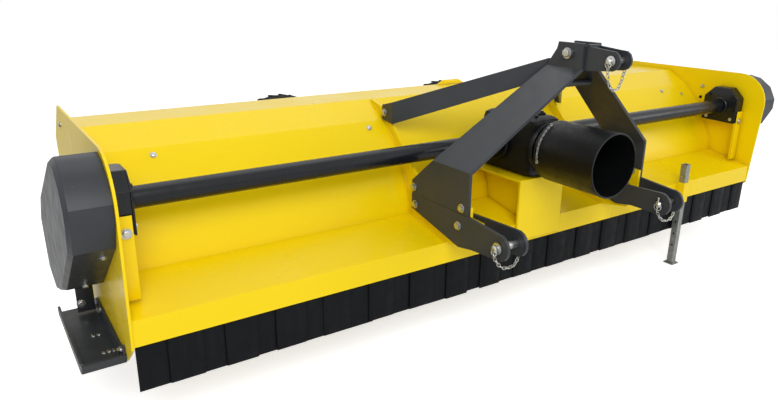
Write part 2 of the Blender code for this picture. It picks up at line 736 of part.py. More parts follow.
def make_shield(parent, plastic):
    """Round shield over the input shaft, open at the front."""
    inner = SHIELD_R - SHIELD_T
    neck = bore_for(INPUT_NECK_R)
    turn_y = SHIELD_REAR_Y - SHIELD_ROUNDING * 2.5
    profile = [(neck, SHIELD_REAR_Y), (SHIELD_R - SHIELD_ROUNDING, SHIELD_REAR_Y - SHIELD_ROUNDING),
               (SHIELD_R, turn_y), (SHIELD_R, SHIELD_FRONT_Y), (inner, SHIELD_FRONT_Y), (inner, turn_y),
               (inner - SHIELD_ROUNDING, SHIELD_REAR_Y - SHIELD_ROUNDING - SHIELD_T / 2),
               (neck, SHIELD_REAR_Y - SHIELD_T * 1.2)]
    mesh = turned_hollow("pto_shield", profile, "Y")
    return new_object("pto_shield", mesh, plastic, (0, 0, AXIS_Z), parent)


def pipe(name, outer, inner, low, high, axis="X"):
    """Round tube from one place to another along an axis."""
    return turned_hollow(name, [(outer, low), (outer, high), (inner, high), (inner, low)], axis)


def make_shaft_tube(parent, paint, side, label):
    """Cover tube between the gearbox and the side bearing."""
    low = side * (GEARBOX_HALF_X + GEARBOX_NECK_REACH + GAP)
    mesh = pipe(f"shaft_tube_{label}", TUBE_R, TUBE_BORE_R, low, side * (TUBE_END_X - GAP))
    return new_object(f"shaft_tube_{label}", mesh, paint, (0, CROSS_Y, AXIS_Z), parent)


def pulley_profile(radius, side, bore_end):
    """Radius and place pairs of a pulley whose groove holds the belt."""
    inner = side * PULLEY_X
    outer = side * (PULLEY_X + PULLEY_W)
    lip = side * PULLEY_LIP
    return [(bore_end, inner), (radius + PULLEY_FLANGE, inner), (radius + PULLEY_FLANGE, inner + lip),
            (radius, inner + lip), (radius, outer - lip), (radius + PULLEY_FLANGE, outer - lip),
            (radius + PULLEY_FLANGE, outer), (bore_end, outer)]


def make_cross_shaft(parent, steel, side, label):
    """Cross shaft inside the cover tube, with its drive pulley at the end."""
    start = side * CROSS_SHAFT_START
    pulley = pulley_profile(DRIVE_PULLEY_R, side, CROSS_SHAFT_R)
    profile = [(CROSS_SHAFT_R, start), *pulley, (CROSS_SHAFT_R, side * (PULLEY_X + PULLEY_W + PULLEY_STUB))]
    mesh = turned(f"cross_shaft_{label}", profile, "X")
    return new_object(f"cross_shaft_{label}", mesh, steel, (0, CROSS_Y, AXIS_Z), parent)


def make_shaft_bearing(parent, paint, side, label):
    """Bearing block on the side plate's shelf that holds the outer end of the cover tube."""
    low = side * (TUBE_END_X - BEARING_SEAT)
    half = BEARING_HALF
    flat = half - BEARING_CHAMFER
    shoulder = BEARING_RISE - BEARING_CHAMFER
    outline = [(-half, -BEARING_DROP), (half, -BEARING_DROP), (half, shoulder), (flat, BEARING_RISE),
               (-flat, BEARING_RISE), (-half, shoulder)]
    mesh = prism(f"shaft_bearing_{label}", outline, low, side * INNER_X)
    bearing = new_object(f"shaft_bearing_{label}", mesh, paint, (0, CROSS_Y, AXIS_Z), parent)
    place = (low, CROSS_Y, AXIS_Z)
    cut(bearing, rod(f"{label}_tube_seat", bore_for(TUBE_R), -BEARING_SEAT, BEARING_SEAT, "X"), place)
    reach = INNER_X - TUBE_END_X + BEARING_SEAT * 2
    cut(bearing, rod(f"{label}_shaft_bore", bore_for(CROSS_SHAFT_R), -reach, reach, "X"), place)
    return bearing


def belt_loop(distance, radius_a, radius_b, tilt):
    """Outline round two pulleys whose second centre lies at a distance, turned by a tilt."""
    lean = math.degrees(math.asin((radius_a - radius_b) / distance))
    second = (distance * math.cos(math.radians(tilt)), distance * math.sin(math.radians(tilt)))
    return [*arc((0, 0), radius_a, tilt + 90 - lean, tilt + 270 + lean, BELT_STEPS),
            *arc(second, radius_b, tilt - 90 + lean, tilt + 90 - lean, BELT_STEPS)]


def make_belt(parent, material, side, label):
    """Ring of V belts round the two pulleys, seated in their grooves."""
    gap_y = ROTOR_Y - CROSS_Y
    gap_z = ROTOR_Z - AXIS_Z
    distance = math.hypot(gap_y, gap_z)
    tilt = math.degrees(math.atan2(gap_z, gap_y))
    facet = math.cos(math.radians(90 / BELT_STEPS))
    inner = belt_loop(distance, (DRIVE_PULLEY_R + GAP * 2) / facet, (ROTOR_PULLEY_R + GAP * 2) / facet, tilt)
    outer = belt_loop(distance, DRIVE_PULLEY_R + BELT_T, ROTOR_PULLEY_R + BELT_T, tilt)
    low = side * (PULLEY_X + PULLEY_LIP + BELT_PLAY)
    high = side * (PULLEY_X + PULLEY_W - PULLEY_LIP - BELT_PLAY)
    rings = [[(x, y, z) for y, z in outline]
             for outline, x in ((outer, low), (outer, high), (inner, high), (inner, low))]
    return new_object(f"drive_belt_{label}", ring_loop(f"drive_belt_{label}", rings), material,
                      (0, CROSS_Y, AXIS_Z), parent)


def make_guard(parent, paint, side, label):
    """Bevelled sheet guard over the belts, open towards the side plate."""
    outline = GUARD_LINE
    base = SPAN / 2 + GAP
    end = base + GUARD_DEPTH
    inset = offset_outline(outline, GUARD_BEVEL)
    rings = [[(side * x, y, z) for y, z in shape]
             for x, shape in ((base, outline), (end - GUARD_BEVEL, outline), (end, inset))]
    mesh = ring_solid(f"belt_guard_{label}", rings)
    guard = new_object(f"belt_guard_{label}", mesh, paint, (0, 0, 0), parent)
    wall = offset_outline(outline, GUARD_T)
    wall_inset = offset_outline(outline, GUARD_BEVEL)
    hollow = [[(side * x, y, z) for y, z in shape]
              for x, shape in ((base - GUARD_T, wall), (end - GUARD_BEVEL - GUARD_T / 2, wall),
                               (end - GUARD_T, wall_inset))]
    cut(guard, ring_solid(f"{label}_guard_hollow", hollow))
    return guard


def make_rotor(parent, steel):
    """Rotor tube with stub shafts and one lug for each hammer."""
    end = PULLEY_X + PULLEY_W + PULLEY_STUB
    mesh = turned("rotor", [(STUB_R, -end), (STUB_R, -ROTOR_TUBE_HALF), (ROTOR_TUBE_R, -ROTOR_TUBE_HALF),
                            (ROTOR_TUBE_R, ROTOR_TUBE_HALF), (STUB_R, ROTOR_TUBE_HALF), (STUB_R, end)], "X")
    rotor = new_object("rotor", mesh, steel, (0, ROTOR_Y, ROTOR_Z), parent)
    for index in range(HAMMER_COUNT):
        x = hammer_x(index)
        angle = hammer_angle(index)
        lug = [(-LUG_HALF_WIDTH, ROTOR_TUBE_R - LUG_SINK), (LUG_HALF_WIDTH, ROTOR_TUBE_R - LUG_SINK),
               *arc((0, LUG_PIN_R), LUG_HALF_WIDTH, 0, 180, 6)]
        mesh = prism(f"lug_{index}", lug, -LUG_T / 2, LUG_T / 2)
        mesh.transform(Matrix.Rotation(math.radians(angle - 180), 4, "X"))
        add(rotor, mesh, (x, ROTOR_Y, ROTOR_Z))
        y, z = pin_place(angle)
        bore_r = bore_for(HAMMER_BOLT_R, SMALL_ROUND)
        cut(rotor, rod(f"lug_bore_{index}", bore_r, -LUG_T, LUG_T, "X", SMALL_ROUND), (x, y, z))
    return rotor


def hammer_x(index):
    """X of one hammer along the rotor."""
    return (index - (HAMMER_COUNT - 1) / 2) * LUG_SPACING


def hammer_angle(index):
    """Angle of one lug round the rotor, in degrees from straight down towards +Y."""
    return HAMMER_ANGLES[index % len(HAMMER_ANGLES)]


def pin_place(angle):
    """Y and Z of the pin of a lug at an angle."""
    turn = math.radians(angle)
    return ROTOR_Y + LUG_PIN_R * math.sin(turn), ROTOR_Z - LUG_PIN_R * math.cos(turn)


def make_hammer(parent, steel, index):
    """Forged hammer: two ears astride the lug, a bolt through them and a broad blade."""
    y, z = pin_place(hammer_angle(index))
    inner = LUG_T / 2 + GAP
    root = -BLADE_START - BLADE_EDGE
    ear = [*arc((0, 0), EAR_R, 0, 180, 6), (-HAMMER_HALF_T, root), (HAMMER_HALF_T, root)]
    name = f"hammer_{index + 1:02d}"
    place = (hammer_x(index), y, z)
    hammer = new_object(name, prism(name, ear, inner, inner + EAR_T), steel, place, parent)
    add(hammer, prism(f"{name}_ear", ear, -inner - EAR_T, -inner), place)
    ground = BLADE_EDGE - HAMMER_REACH
    tip = HAMMER_HALF_T - BLADE_EDGE
    blade = [(-HAMMER_HALF_T, -BLADE_START), (-HAMMER_HALF_T, ground), (-tip, -HAMMER_REACH), (tip, -HAMMER_REACH),
             (HAMMER_HALF_T, ground), (HAMMER_HALF_T, -BLADE_START)]
    add(hammer, prism(f"{name}_blade", blade, -HAMMER_HALF_WIDTH, HAMMER_HALF_WIDTH), place)
    bolt_end = inner + EAR_T + BLADE_EDGE
    add(hammer, rod(f"{name}_bolt", HAMMER_BOLT_R, -bolt_end, bolt_end, "X", SMALL_ROUND), place)
    return hammer


def make_rotor_pulley(parent, steel, side, label):
    """Driven pulley on the rotor's stub shaft."""
    bore = bore_for(STUB_R)
    mesh = turned_hollow(f"rotor_pulley_{label}", pulley_profile(ROTOR_PULLEY_R, side, bore), "X")
    return new_object(f"rotor_pulley_{label}", mesh, steel, (0, ROTOR_Y, ROTOR_Z), parent)


def make_rotor_bearing(parent, paint, side, label):
    """Flange bearing of the rotor on the outer face of the side plate."""
    base = SPAN / 2 + GAP
    low = side * base
    high = side * (base + ROTOR_BEARING_DEPTH)
    mesh = pipe(f"rotor_bearing_{label}", ROTOR_BEARING_R, bore_for(STUB_R), low, high)
    return new_object(f"rotor_bearing_{label}", mesh, paint, (0, ROTOR_Y, ROTOR_Z), parent)


def make_skid(parent, paint, side, label):
    """Skid shoe under a belt guard: a sole with a turned-up nose and a foot on the side plate."""
    inner = side * (SPAN / 2 + GAP)
    outer = side * (SPAN / 2 + SKID_W)
    nose = SKID_NOSE
    line = [(SKID_FRONT_Y, SKID_SOLE_Z + nose), (SKID_FRONT_Y + nose / 4, SKID_SOLE_Z + nose / 3),
            (SKID_FRONT_Y + nose, SKID_SOLE_Z), (SKID_REAR_Y, SKID_SOLE_Z)]
    shape = line + offset_line(line, SKID_T)[::-1]
    skid = new_object(f"skid_{label}", prism(f"skid_{label}", shape, inner, outer), paint, (0, 0, 0), parent)
    sunk = SKID_SOLE_Z + SKID_T / 2
    start = SKID_FRONT_Y + SKID_T / 2
    keel = [(start, SKID_SOLE_Z + nose), (start + nose / 4, SKID_SOLE_Z + nose / 3 + SKID_T / 4),
            (start + nose, sunk), (SKID_REAR_Y, sunk)]
    wall = [*keel, (SKID_REAR_Y, SKID_SOLE_Z + SKID_LIP), (SKID_REAR_Y - SKID_TAIL, SKID_TOP_Z),
            (SKID_FRONT_Y + SKID_TAIL, SKID_TOP_Z - SKID_T), (start + nose / 4, SKID_TOP_Z + SKID_LIP / 2)]
    add(skid, prism(f"{label}_skid_wall", wall, inner, inner + side * SKID_T))
    lip = [*keel, (SKID_REAR_Y, SKID_SOLE_Z + SKID_LIP), (start + nose, SKID_SOLE_Z + SKID_LIP),
           (start, SKID_SOLE_Z + nose + SKID_T / 4)]
    add(skid, prism(f"{label}_skid_lip", lip, outer - side * SKID_T, outer))
    for y in (SKID_FRONT_Y + SKID_NOSE, SKID_REAR_Y - SKID_TAIL * 2):
        bolt(skid, inner + side * SKID_T, y, SKID_TOP_Z - BOLT_R * 2, side)
    return skid


def make_stand(parent, steel):
    """Square tube stand that slides in its sleeve, with a foot plate and pin holes."""
    half = STAND_SIDE / 2
    place = (STAND_X, STAND_Y, 0)
    mesh = block("parking_stand", (-half, -half, FOOT_T / 2), (half, half, STAND_TOP_Z))
    stand = new_object("parking_stand", mesh, steel, place, parent)
    inner = half - STAND_WALL
    cut(stand, block("stand_hollow", (-inner, -inner, FOOT_T * 3), (inner, inner, 1)), place)
    foot = FOOT_SIDE / 2
    add(stand, block("stand_foot", (-foot, -foot, 0), (foot, foot, FOOT_T)), place)
    for index, z in enumerate(STAND_HOLES_Z):
        hole = rod(f"pin_hole_{index}", STAND_HOLE_R, -STAND_SIDE, STAND_SIDE, "X", 8)
        cut(stand, hole, (STAND_X, STAND_Y, z))
    return stand


def make_flap_rod(parent, steel):
    """Rod along the inside of the lip from which the curtain hangs."""
    mesh = rod("flap_rod", FLAP_ROD_R, -INNER_X, INNER_X, "X", SMALL_ROUND)
    return new_object("flap_rod", mesh, steel, (0, FLAP_Y, FLAP_ROD_Z), parent)


def make_curtain(parent, material, start, end, label):
    """Length of the rubber curtain from one X to another, slit into strips from below."""
    top = FLAP_ROD_Z - FLAP_ROD_R - GAP
    count = round((end - start) / FLAP_STRIP)
    pitch = (end - start) / count
    outline = []
    for index in range(count):
        low = start + index * pitch
        last = index == count - 1
        high = low + pitch - (0.0 if last else FLAP_SLIT)
        outline += [(low, FLAP_BOTTOM_Z), (high, FLAP_BOTTOM_Z)]
        if not last:
            outline += [(high, top - FLAP_HEM), (low + pitch, top - FLAP_HEM)]
    outline += [(end, top), (start, top)]
    rings = [[(x, y, z - FLAP_ROD_Z) for x, z in outline] for y in (-FLAP_T / 2, FLAP_T / 2)]
    mesh = ring_solid(f"curtain_{label}", rings)
    return new_object(f"curtain_{label}", mesh, material, (0, FLAP_Y, FLAP_ROD_Z), parent)


def make_roller(parent, paint):
    """Rear roller that carries the parked machine and sets the cutting height."""
    end = SPAN / 2 - GAP * 2
    profile = [(ROLLER_SHAFT_R, -end), (ROLLER_SHAFT_R, -ROLLER_HALF), (ROLLER_R, -ROLLER_HALF),
               (ROLLER_R, ROLLER_HALF), (ROLLER_SHAFT_R, ROLLER_HALF), (ROLLER_SHAFT_R, end)]
    return new_object("rear_roller", turned("rear_roller", profile, "X"), paint, (0, ROLLER_Y, ROLLER_Z), parent)


def make_wheel_pivot(parent, paint, index, x):
    """Pivot tube behind the hood on which a transport wheel's arm swings."""
    low = TOP_REAR_Y + GAP
    high = WHEEL_Y - WHEEL_W / 2 - PIVOT_BACK - GAP
    bore = bore_for(SPINDLE_R)
    profile = [(bore, low), (PIVOT_FLANGE_R, low), (PIVOT_FLANGE_R, low + STAY_T), (PIVOT_R, low + STAY_T),
               (PIVOT_R, high), (bore, high)]
    mesh = turned_hollow(f"wheel_pivot_{index}", profile, "Y")
    return new_object(f"wheel_pivot_{index}", mesh, paint, (x, 0, WHEEL_Z), parent)


def make_wheel_arm(parent, paint, index, x, reach):
    """Arm of a transport wheel, with its pivot spindle and its axle."""
    face = WHEEL_Y - WHEEL_W / 2 - PIVOT_BACK
    origin = (x, 0, WHEEL_Z)
    bar = math.copysign(ARM_BAR, reach)
    low_x, high_x = sorted((-bar, reach + bar))
    mesh = block(f"wheel_arm_{index}", (low_x, face, -ARM_BAR), (high_x, face + ARM_PLATE_T, ARM_BAR))
    arm = new_object(f"wheel_arm_{index}", mesh, paint, origin, parent)
    middle = face + ARM_PLATE_T / 2
    add(arm, rod(f"pivot_spindle_{index}", SPINDLE_R, TOP_REAR_Y + SPINDLE_R, middle, "Y"), origin)
    axle = rod(f"axle_{index}", SPINDLE_R, middle, WHEEL_Y + WHEEL_W / 2 - SPINDLE_R, "Y")
    add(arm, axle, (x + reach, 0, WHEEL_Z))
    return arm


def make_wheel(parent, material, index, x):
    """Transport wheel: a tyre on a dished rim with a hub bore."""
    half = WHEEL_W / 2
    bore = bore_for(SPINDLE_R)
    hub = half - HUB_INSET
    tread = half * 0.4
    shoulder = half * 0.7
    rim = WHEEL_R * 0.58
    bead = half * 0.84
    profile = [(bore, -hub), (HUB_R, -hub), (HUB_R, -DISH), (rim, -DISH), (rim, -bead), (WHEEL_R * 0.66, -half),
               (WHEEL_R * 0.86, -half), (WHEEL_R * 0.97, -shoulder), (WHEEL_R, -tread), (WHEEL_R, tread),
               (WHEEL_R * 0.97, shoulder), (WHEEL_R * 0.86, half), (WHEEL_R * 0.66, half), (rim, bead), (rim, 0.0),
               (HUB_R, 0.0), (HUB_R, hub), (bore, hub)]
    mesh = turned_hollow(f"transport_wheel_{index}", profile, "Y")
    return new_object(f"transport_wheel_{index}", mesh, material, (x, WHEEL_Y, WHEEL_Z), parent)


def main():
    """Build the whole machine on its datum."""
    clear_scene()
    datum = bpy.data.objects.new("datum", None)
    datum.location = (0, DATUM_Y, 0)
    bpy.context.scene.collection.objects.link(datum)
    yellow = yellow_paint()
    charcoal = charcoal_paint()
    black = black_paint()
    tyre = rubber()
    plastic = black_plastic()
    zinc = zinc_steel()
    steel = bare_steel()

    make_hood(datum, yellow)
    make_gearbox_mount(datum, yellow)
    make_gearbox(datum, black)
    make_input_shaft(datum, steel)
    make_shield(datum, plastic)
    make_head_bolt(datum, zinc)
    make_top_link_bracket(datum, charcoal)
    make_pin(datum, zinc, "top_link_pin", TOP_PIN_R, TOP_CLEVIS_HALF + BRACKET_T, (0, TOP_PIN_Y, TOP_PIN_Z), -1)
    outer = PIN_HALF_SPACING + CLEVIS_HALF_GAP
    inner = PIN_HALF_SPACING - CLEVIS_HALF_GAP
    outer_shape = hitch_outline([(HITCH_REAR_Y, HITCH_TOP_Z), (HITCH_FRONT_Y, HITCH_TOP_Z)], HITCH_BELLY_Z)
    inner_shape = hitch_outline([(INNER_REAR_Y, INNER_TOP_Z)], INNER_BELLY_Z)
    for side, label in ((-1, "left"), (1, "right")):
        make_side_plate(datum, yellow, side, label)
        make_mast_arm(datum, charcoal, side, label)
        make_back_stay(datum, charcoal, side, label)
        make_hitch_plate(datum, charcoal, f"hitch_plate_outer_{label}", outer_shape, side * outer,
                         side * (outer + HITCH_T), OUTER_PLATE_BOLTS, 1)
        make_hitch_plate(datum, charcoal, f"hitch_plate_inner_{label}", inner_shape, side * (inner - HITCH_T),
                         side * inner, INNER_PLATE_BOLTS, -1)
        make_pin(datum, zinc, f"hitch_pin_{label}", HITCH_PIN_R, CLEVIS_HALF_GAP + HITCH_T,
                 (side * PIN_HALF_SPACING, HITCH_PIN_Y, HITCH_PIN_Z), side)
        make_shaft_tube(datum, black, side, label)
        make_cross_shaft(datum, steel, side, label)
        make_shaft_bearing(datum, black, side, label)
        make_belt(datum, tyre, side, label)
        make_guard(datum, charcoal, side, label)
        make_rotor_pulley(datum, steel, side, label)
        make_rotor_bearing(datum, black, side, label)
        make_skid(datum, charcoal, side, label)
    make_curtain(datum, tyre, FLAP_PLAY - INNER_X, -FLAP_PLAY / 2, "left")
    make_curtain(datum, tyre, FLAP_PLAY / 2, INNER_X - FLAP_PLAY, "right")
    make_rotor(datum, steel)
    for index in range(HAMMER_COUNT):
        make_hammer(datum, steel, index)
    make_stand(datum, zinc)
    make_flap_rod(datum, steel)
    make_roller(datum, charcoal)
    for index, x in enumerate(WHEEL_X):
        reach = math.copysign(ARM_LENGTH, x)
        make_wheel_pivot(datum, charcoal, index + 1, x - reach)
        make_wheel_arm(datum, charcoal, index + 1, x - reach, reach)
        make_wheel(datum, tyre, index + 1, x)


main()
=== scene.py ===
"""Looks of the hammer knife mower: its finishes, fasteners, chains, curtain strips, castings and studio."""
from __future__ import annotations

import json
import logging
import math
from collections.abc import Callable
from dataclasses import dataclass, field
from enum import Enum
from functools import partial

import bmesh
import bpy
from mathutils import Matrix, Vector


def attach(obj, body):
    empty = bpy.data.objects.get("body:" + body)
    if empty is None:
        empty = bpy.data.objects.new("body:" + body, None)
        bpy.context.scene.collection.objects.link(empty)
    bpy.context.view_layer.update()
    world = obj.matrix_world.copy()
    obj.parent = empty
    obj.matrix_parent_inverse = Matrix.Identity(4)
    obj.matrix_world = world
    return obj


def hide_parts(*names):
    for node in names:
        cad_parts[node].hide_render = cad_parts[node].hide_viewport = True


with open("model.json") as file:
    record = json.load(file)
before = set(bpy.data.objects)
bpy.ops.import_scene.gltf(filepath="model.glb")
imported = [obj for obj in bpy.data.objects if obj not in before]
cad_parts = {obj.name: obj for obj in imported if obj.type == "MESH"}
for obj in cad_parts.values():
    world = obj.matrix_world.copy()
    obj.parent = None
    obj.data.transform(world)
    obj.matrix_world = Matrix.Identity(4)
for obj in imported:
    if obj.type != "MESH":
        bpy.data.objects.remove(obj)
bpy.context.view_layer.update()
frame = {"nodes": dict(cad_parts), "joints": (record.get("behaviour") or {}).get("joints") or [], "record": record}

log = logging.getLogger("mower")

JOINTS = {joint["name"]: joint for joint in frame["joints"]}
ROTOR_BEHIND_LIP = 0.475
LIP_Y = JOINTS["rotor_spin"]["pos_m"][1] - ROTOR_BEHIND_LIP
SIDES = (("left", -1), ("right", 1))
ROOT = "frame"
EDGE_ANGLE = 28.0
CHAIN_STEPS = 32

X_AXIS = Vector((1.0, 0.0, 0.0))
Y_AXIS = Vector((0.0, 1.0, 0.0))
Z_AXIS = Vector((0.0, 0.0, 1.0))
FACET_OUT = Vector((0.0, -0.699, 0.715))
PLATE_INNER_X = 1.5917
PLATE_OUTER_X = 1.6
SHAFT_Y = 0.18
SHAFT_Z = 0.717

Tree = bpy.types.NodeTree
Node = bpy.types.Node
Socket = bpy.types.NodeSocket
Mesh = bpy.types.Mesh
Piece = bpy.types.Object
Profile = list[tuple[float, float]]
Adder = Callable[..., Node]


class Slot(Enum):
    """Material slots of the record."""

    YELLOW = "yellow_paint"
    CHARCOAL = "charcoal_paint"
    BLACK = "black_paint"
    RUBBER = "rubber"
    TYRE = "tyre"
    PLASTIC = "black_plastic"
    ZINC = "zinc_steel"
    STEEL = "bare_steel"


class Axis(Enum):
    """Axis that a turned piece is made round, with the turn from Z."""

    X = ("Y", 90.0)
    Y = ("X", -90.0)
    Z = ("Z", 0.0)

    def turn(self) -> Matrix:
        """Matrix that lays the Z axis along this one."""
        name, degrees = self.value
        return Matrix.Rotation(math.radians(degrees), 4, name)


def at(x: float, y: float, z: float) -> Vector:
    """Point of the machine, with Y counted from the hood's front lip."""
    return Vector((x, LIP_Y + y, z))


def linear(code: str) -> tuple[float, float, float, float]:
    """Turn an sRGB hex colour into linear values.

    Args:
        code: Six hex digits.

    Returns:
        Red, green, blue and an alpha of one.
    """
    values = []
    for start in (0, 2, 4):
        share = int(code[start:start + 2], 16) / 255
        values.append(share / 12.92 if share <= 0.04045 else ((share + 0.055) / 1.055) ** 2.4)
    return values[0], values[1], values[2], 1.0


def add_node(tree: Tree, kind: str, sockets: dict | None = None, **settings: object) -> Node:
    """Add one node, set its fields, and set or link its inputs.

    Args:
        tree: Tree that gets the node.
        kind: Blender's type name of the node.
        sockets: Input name or number to a value, to an output, or to a node for its first output.
        **settings: Fields of the node.

    Returns:
        The new node.
    """
    node = tree.nodes.new(kind)
    for name, value in settings.items():
        setattr(node, name, value)
    for key, value in (sockets or {}).items():
        if isinstance(value, Node):
            value = value.outputs[0]
        if isinstance(value, Socket):
            tree.links.new(value, node.inputs[key])
        else:
            node.inputs[key].default_value = value
    return node


@dataclass(frozen=True)
class Finish:
    """A surface: its colours, gloss and the size of its patterns in millimetres."""

    name: str
    slot: Slot
    colour: str
    worn: str
    # Colour mixed in by the occlusion mask: painted corner shade, a lighter soil brown on the tyre.
    corner_shade_and_grime: str
    roughness: float
    metallic: float = 0.0
    patch_mm: float = 220.0
    patch_share: float = 0.25
    grain_mm: float = 3.0
    grain_depth_mm: float = 0.05
    corner_shade_and_grime_reach_mm: float = 25.0
    corner_shade_and_grime_share: float = 0.35
    coat: float = 0.0
    shine: float = 0.5

    def build(self) -> bpy.types.Material:
        """Make the material once and return it.

        Returns:
            The material, kept under the finish's name.
        """
        if self.name in bpy.data.materials:
            return bpy.data.materials[self.name]
        material = bpy.data.materials.new(self.name)
        material.use_nodes = True
        tree = material.node_tree
        add = partial(add_node, tree)
        shader = tree.nodes["Principled BSDF"]
        shader.inputs["Metallic"].default_value = self.metallic
        shader.inputs["Specular IOR Level"].default_value = self.shine
        if self.coat:
            shader.inputs["Coat Weight"].default_value = self.coat
            shader.inputs["Coat Roughness"].default_value = 0.08
        place = add("ShaderNodeTexCoord").outputs["Object"]
        colour = self.patches(add, place)
        colour = self.paint_corner_shade_and_grime(add, colour)
        tree.links.new(self.detail(add, place, colour), shader.inputs["Base Color"])
        tree.links.new(self.gloss(add, place), shader.inputs["Roughness"])
        tree.links.new(self.relief(add, place), shader.inputs["Normal"])
        return material

    def patches(self, add: Adder, place: Socket) -> Socket:
        """Broad soft patches between the colour and its worn tone."""
        cloud = add("ShaderNodeTexNoise", {"Vector": place, "Scale": 1000 / self.patch_mm, "Detail": 3.0})
        span = add("ShaderNodeMapRange", {"Value": cloud, "From Min": 0.35, "From Max": 0.75,
            "To Max": self.patch_share})
        mix = add("ShaderNodeMix", {"Factor": span, 6: linear(self.colour), 7: linear(self.worn)},
            data_type="RGBA")
        return mix.outputs[2]

    def paint_corner_shade_and_grime(self, add: Adder, colour: Socket) -> Socket:
        """Painted shade in corners and beside neighbours: an occlusion mask mixes in a darker tone; on the tyre
        the tone is a lighter soil brown, as grime.
        """
        corner = add("ShaderNodeAmbientOcclusion", {"Distance": self.corner_shade_and_grime_reach_mm / 1000}, samples=4)
        depth = add("ShaderNodeMapRange", {"Value": corner.outputs["AO"], "From Min": 0.2, "From Max": 0.9,
            "To Min": self.corner_shade_and_grime_share, "To Max": 0.0})
        mix = add("ShaderNodeMix", {"Factor": depth, 6: colour, 7: linear(self.corner_shade_and_grime)}, data_type="RGBA")
        return mix.outputs[2]

    def detail(self, add: Adder, place: Socket, colour: Socket) -> Socket:
        """Fine colour detail of one kind of finish; a plain finish has none."""
        return colour

    def gloss(self, add: Adder, place: Socket) -> Socket:
        """Roughness that wanders a little over the surface."""
        cloud = add("ShaderNodeTexNoise", {"Vector": place, "Scale": 2600 / self.patch_mm, "Detail": 5.0})
        span = add("ShaderNodeMapRange", {"Value": cloud, "From Min": 0.3, "From Max": 0.7,
            "To Min": self.roughness * 0.82, "To Max": self.roughness * 1.2})
        return span.outputs["Result"]

    def relief(self, add: Adder, place: Socket) -> Socket:
        """Fine bumps of the surface at the finish's grain."""
        grain = add("ShaderNodeTexNoise", {"Vector": place, "Scale": 1000 / self.grain_mm, "Detail": 2.0})
        bump = add("ShaderNodeBump", {"Height": grain, "Strength": 0.6,
            "Distance": self.grain_depth_mm / 1000})
        return bump.outputs["Normal"]


@dataclass(frozen=True)
class Enamel(Finish):
    """Sprayed gloss enamel: even colour, faint orange peel, dust that dulls it and small stone chips."""

    chip: str = "6E675A"
    chip_share: float = 0.5

    def detail(self, add: Adder, place: Socket, colour: Socket) -> Socket:
        """Sparse chips of a few millimetres, drawn a little larger than real so that they show."""
        specks = add("ShaderNodeTexVoronoi", {"Vector": place, "Scale": 1000 / 46.0, "Randomness": 1.0})
        broad = add("ShaderNodeTexNoise", {"Vector": place, "Scale": 5.0, "Detail": 2.0})
        spot = add("ShaderNodeMapRange", {"Value": specks, "From Min": 0.035, "From Max": 0.06,
            "To Min": 1.0, "To Max": 0.0})
        where = add("ShaderNodeMapRange", {"Value": broad, "From Min": 0.58, "From Max": 0.66})
        share = add("ShaderNodeMath", {0: spot, 1: where}, operation="MULTIPLY")
        weak = add("ShaderNodeMath", {0: share, 1: self.chip_share}, operation="MULTIPLY")
        mix = add("ShaderNodeMix", {"Factor": weak, 6: colour, 7: linear(self.chip)}, data_type="RGBA")
        return mix.outputs[2]


@dataclass(frozen=True)
class Rubber(Finish):
    """Moulded rubber: near black, dusty grey bloom in vertical streaks and a fine matt grain."""

    bloom: str = "4A4C4E"
    bloom_share: float = 0.35

    def detail(self, add: Adder, place: Socket, colour: Socket) -> Socket:
        """Streaks about 15 mm wide that run down the piece."""
        stretch = add("ShaderNodeMapping", {"Vector": place, "Scale": (66.0, 66.0, 9.0)})
        streak = add("ShaderNodeTexNoise", {"Vector": stretch, "Scale": 1.0, "Detail": 3.0})
        span = add("ShaderNodeMapRange", {"Value": streak, "From Min": 0.45, "From Max": 0.8,
            "To Max": self.bloom_share})
        mix = add("ShaderNodeMix", {"Factor": span, 6: colour, 7: linear(self.bloom)}, data_type="RGBA")
        return mix.outputs[2]


@dataclass(frozen=True)
class Plated(Finish):
    """Zinc-plated steel: pale grey, a crystalline mottle of a few millimetres and soft gloss."""

    mottle_mm: float = 9.0
    pale: str = "D9DAD6"

    def detail(self, add: Adder, place: Socket, colour: Socket) -> Socket:
        """Crystal flakes of the zinc coat."""
        flake = add("ShaderNodeTexVoronoi", {"Vector": place, "Scale": 1000 / self.mottle_mm})
        span = add("ShaderNodeMapRange", {"Value": flake.outputs["Color"], "To Max": 0.45})
        mix = add("ShaderNodeMix", {"Factor": span, 6: colour, 7: linear(self.pale)}, data_type="RGBA")
        return mix.outputs[2]


@dataclass(frozen=True)
class Forged(Finish):
    """Bare forged or turned steel: grey brown scale with rust in patches."""

    rust: str = "6B4630"

    def detail(self, add: Adder, place: Socket, colour: Socket) -> Socket:
        """Thin rust in patches of some 30 mm."""
        cloud = add("ShaderNodeTexNoise", {"Vector": place, "Scale": 1000 / 30.0, "Detail": 6.0,
            "Roughness": 0.65})
        span = add("ShaderNodeMapRange", {"Value": cloud, "From Min": 0.5, "From Max": 0.72, "To Max": 0.6})
        mix = add("ShaderNodeMix", {"Factor": span, 6: colour, 7: linear(self.rust)}, data_type="RGBA")
        return mix.outputs[2]


# The fifth colour of each finish goes where the occlusion mask is low: painted corner shade, but lighter soil on
# the tyre.
# Sprayed yellow enamel: bright, clean and glossy, greyer where dust lies, with painted shade that browns the
# corners.
YELLOW = Enamel("yellow_enamel", Slot.YELLOW, "F2D200", "EAC80A", "8C6A06", 0.3, patch_mm=520.0,
    patch_share=0.25, grain_mm=5.0, grain_depth_mm=0.04, coat=0.08, chip_share=0.35, shine=0.22)
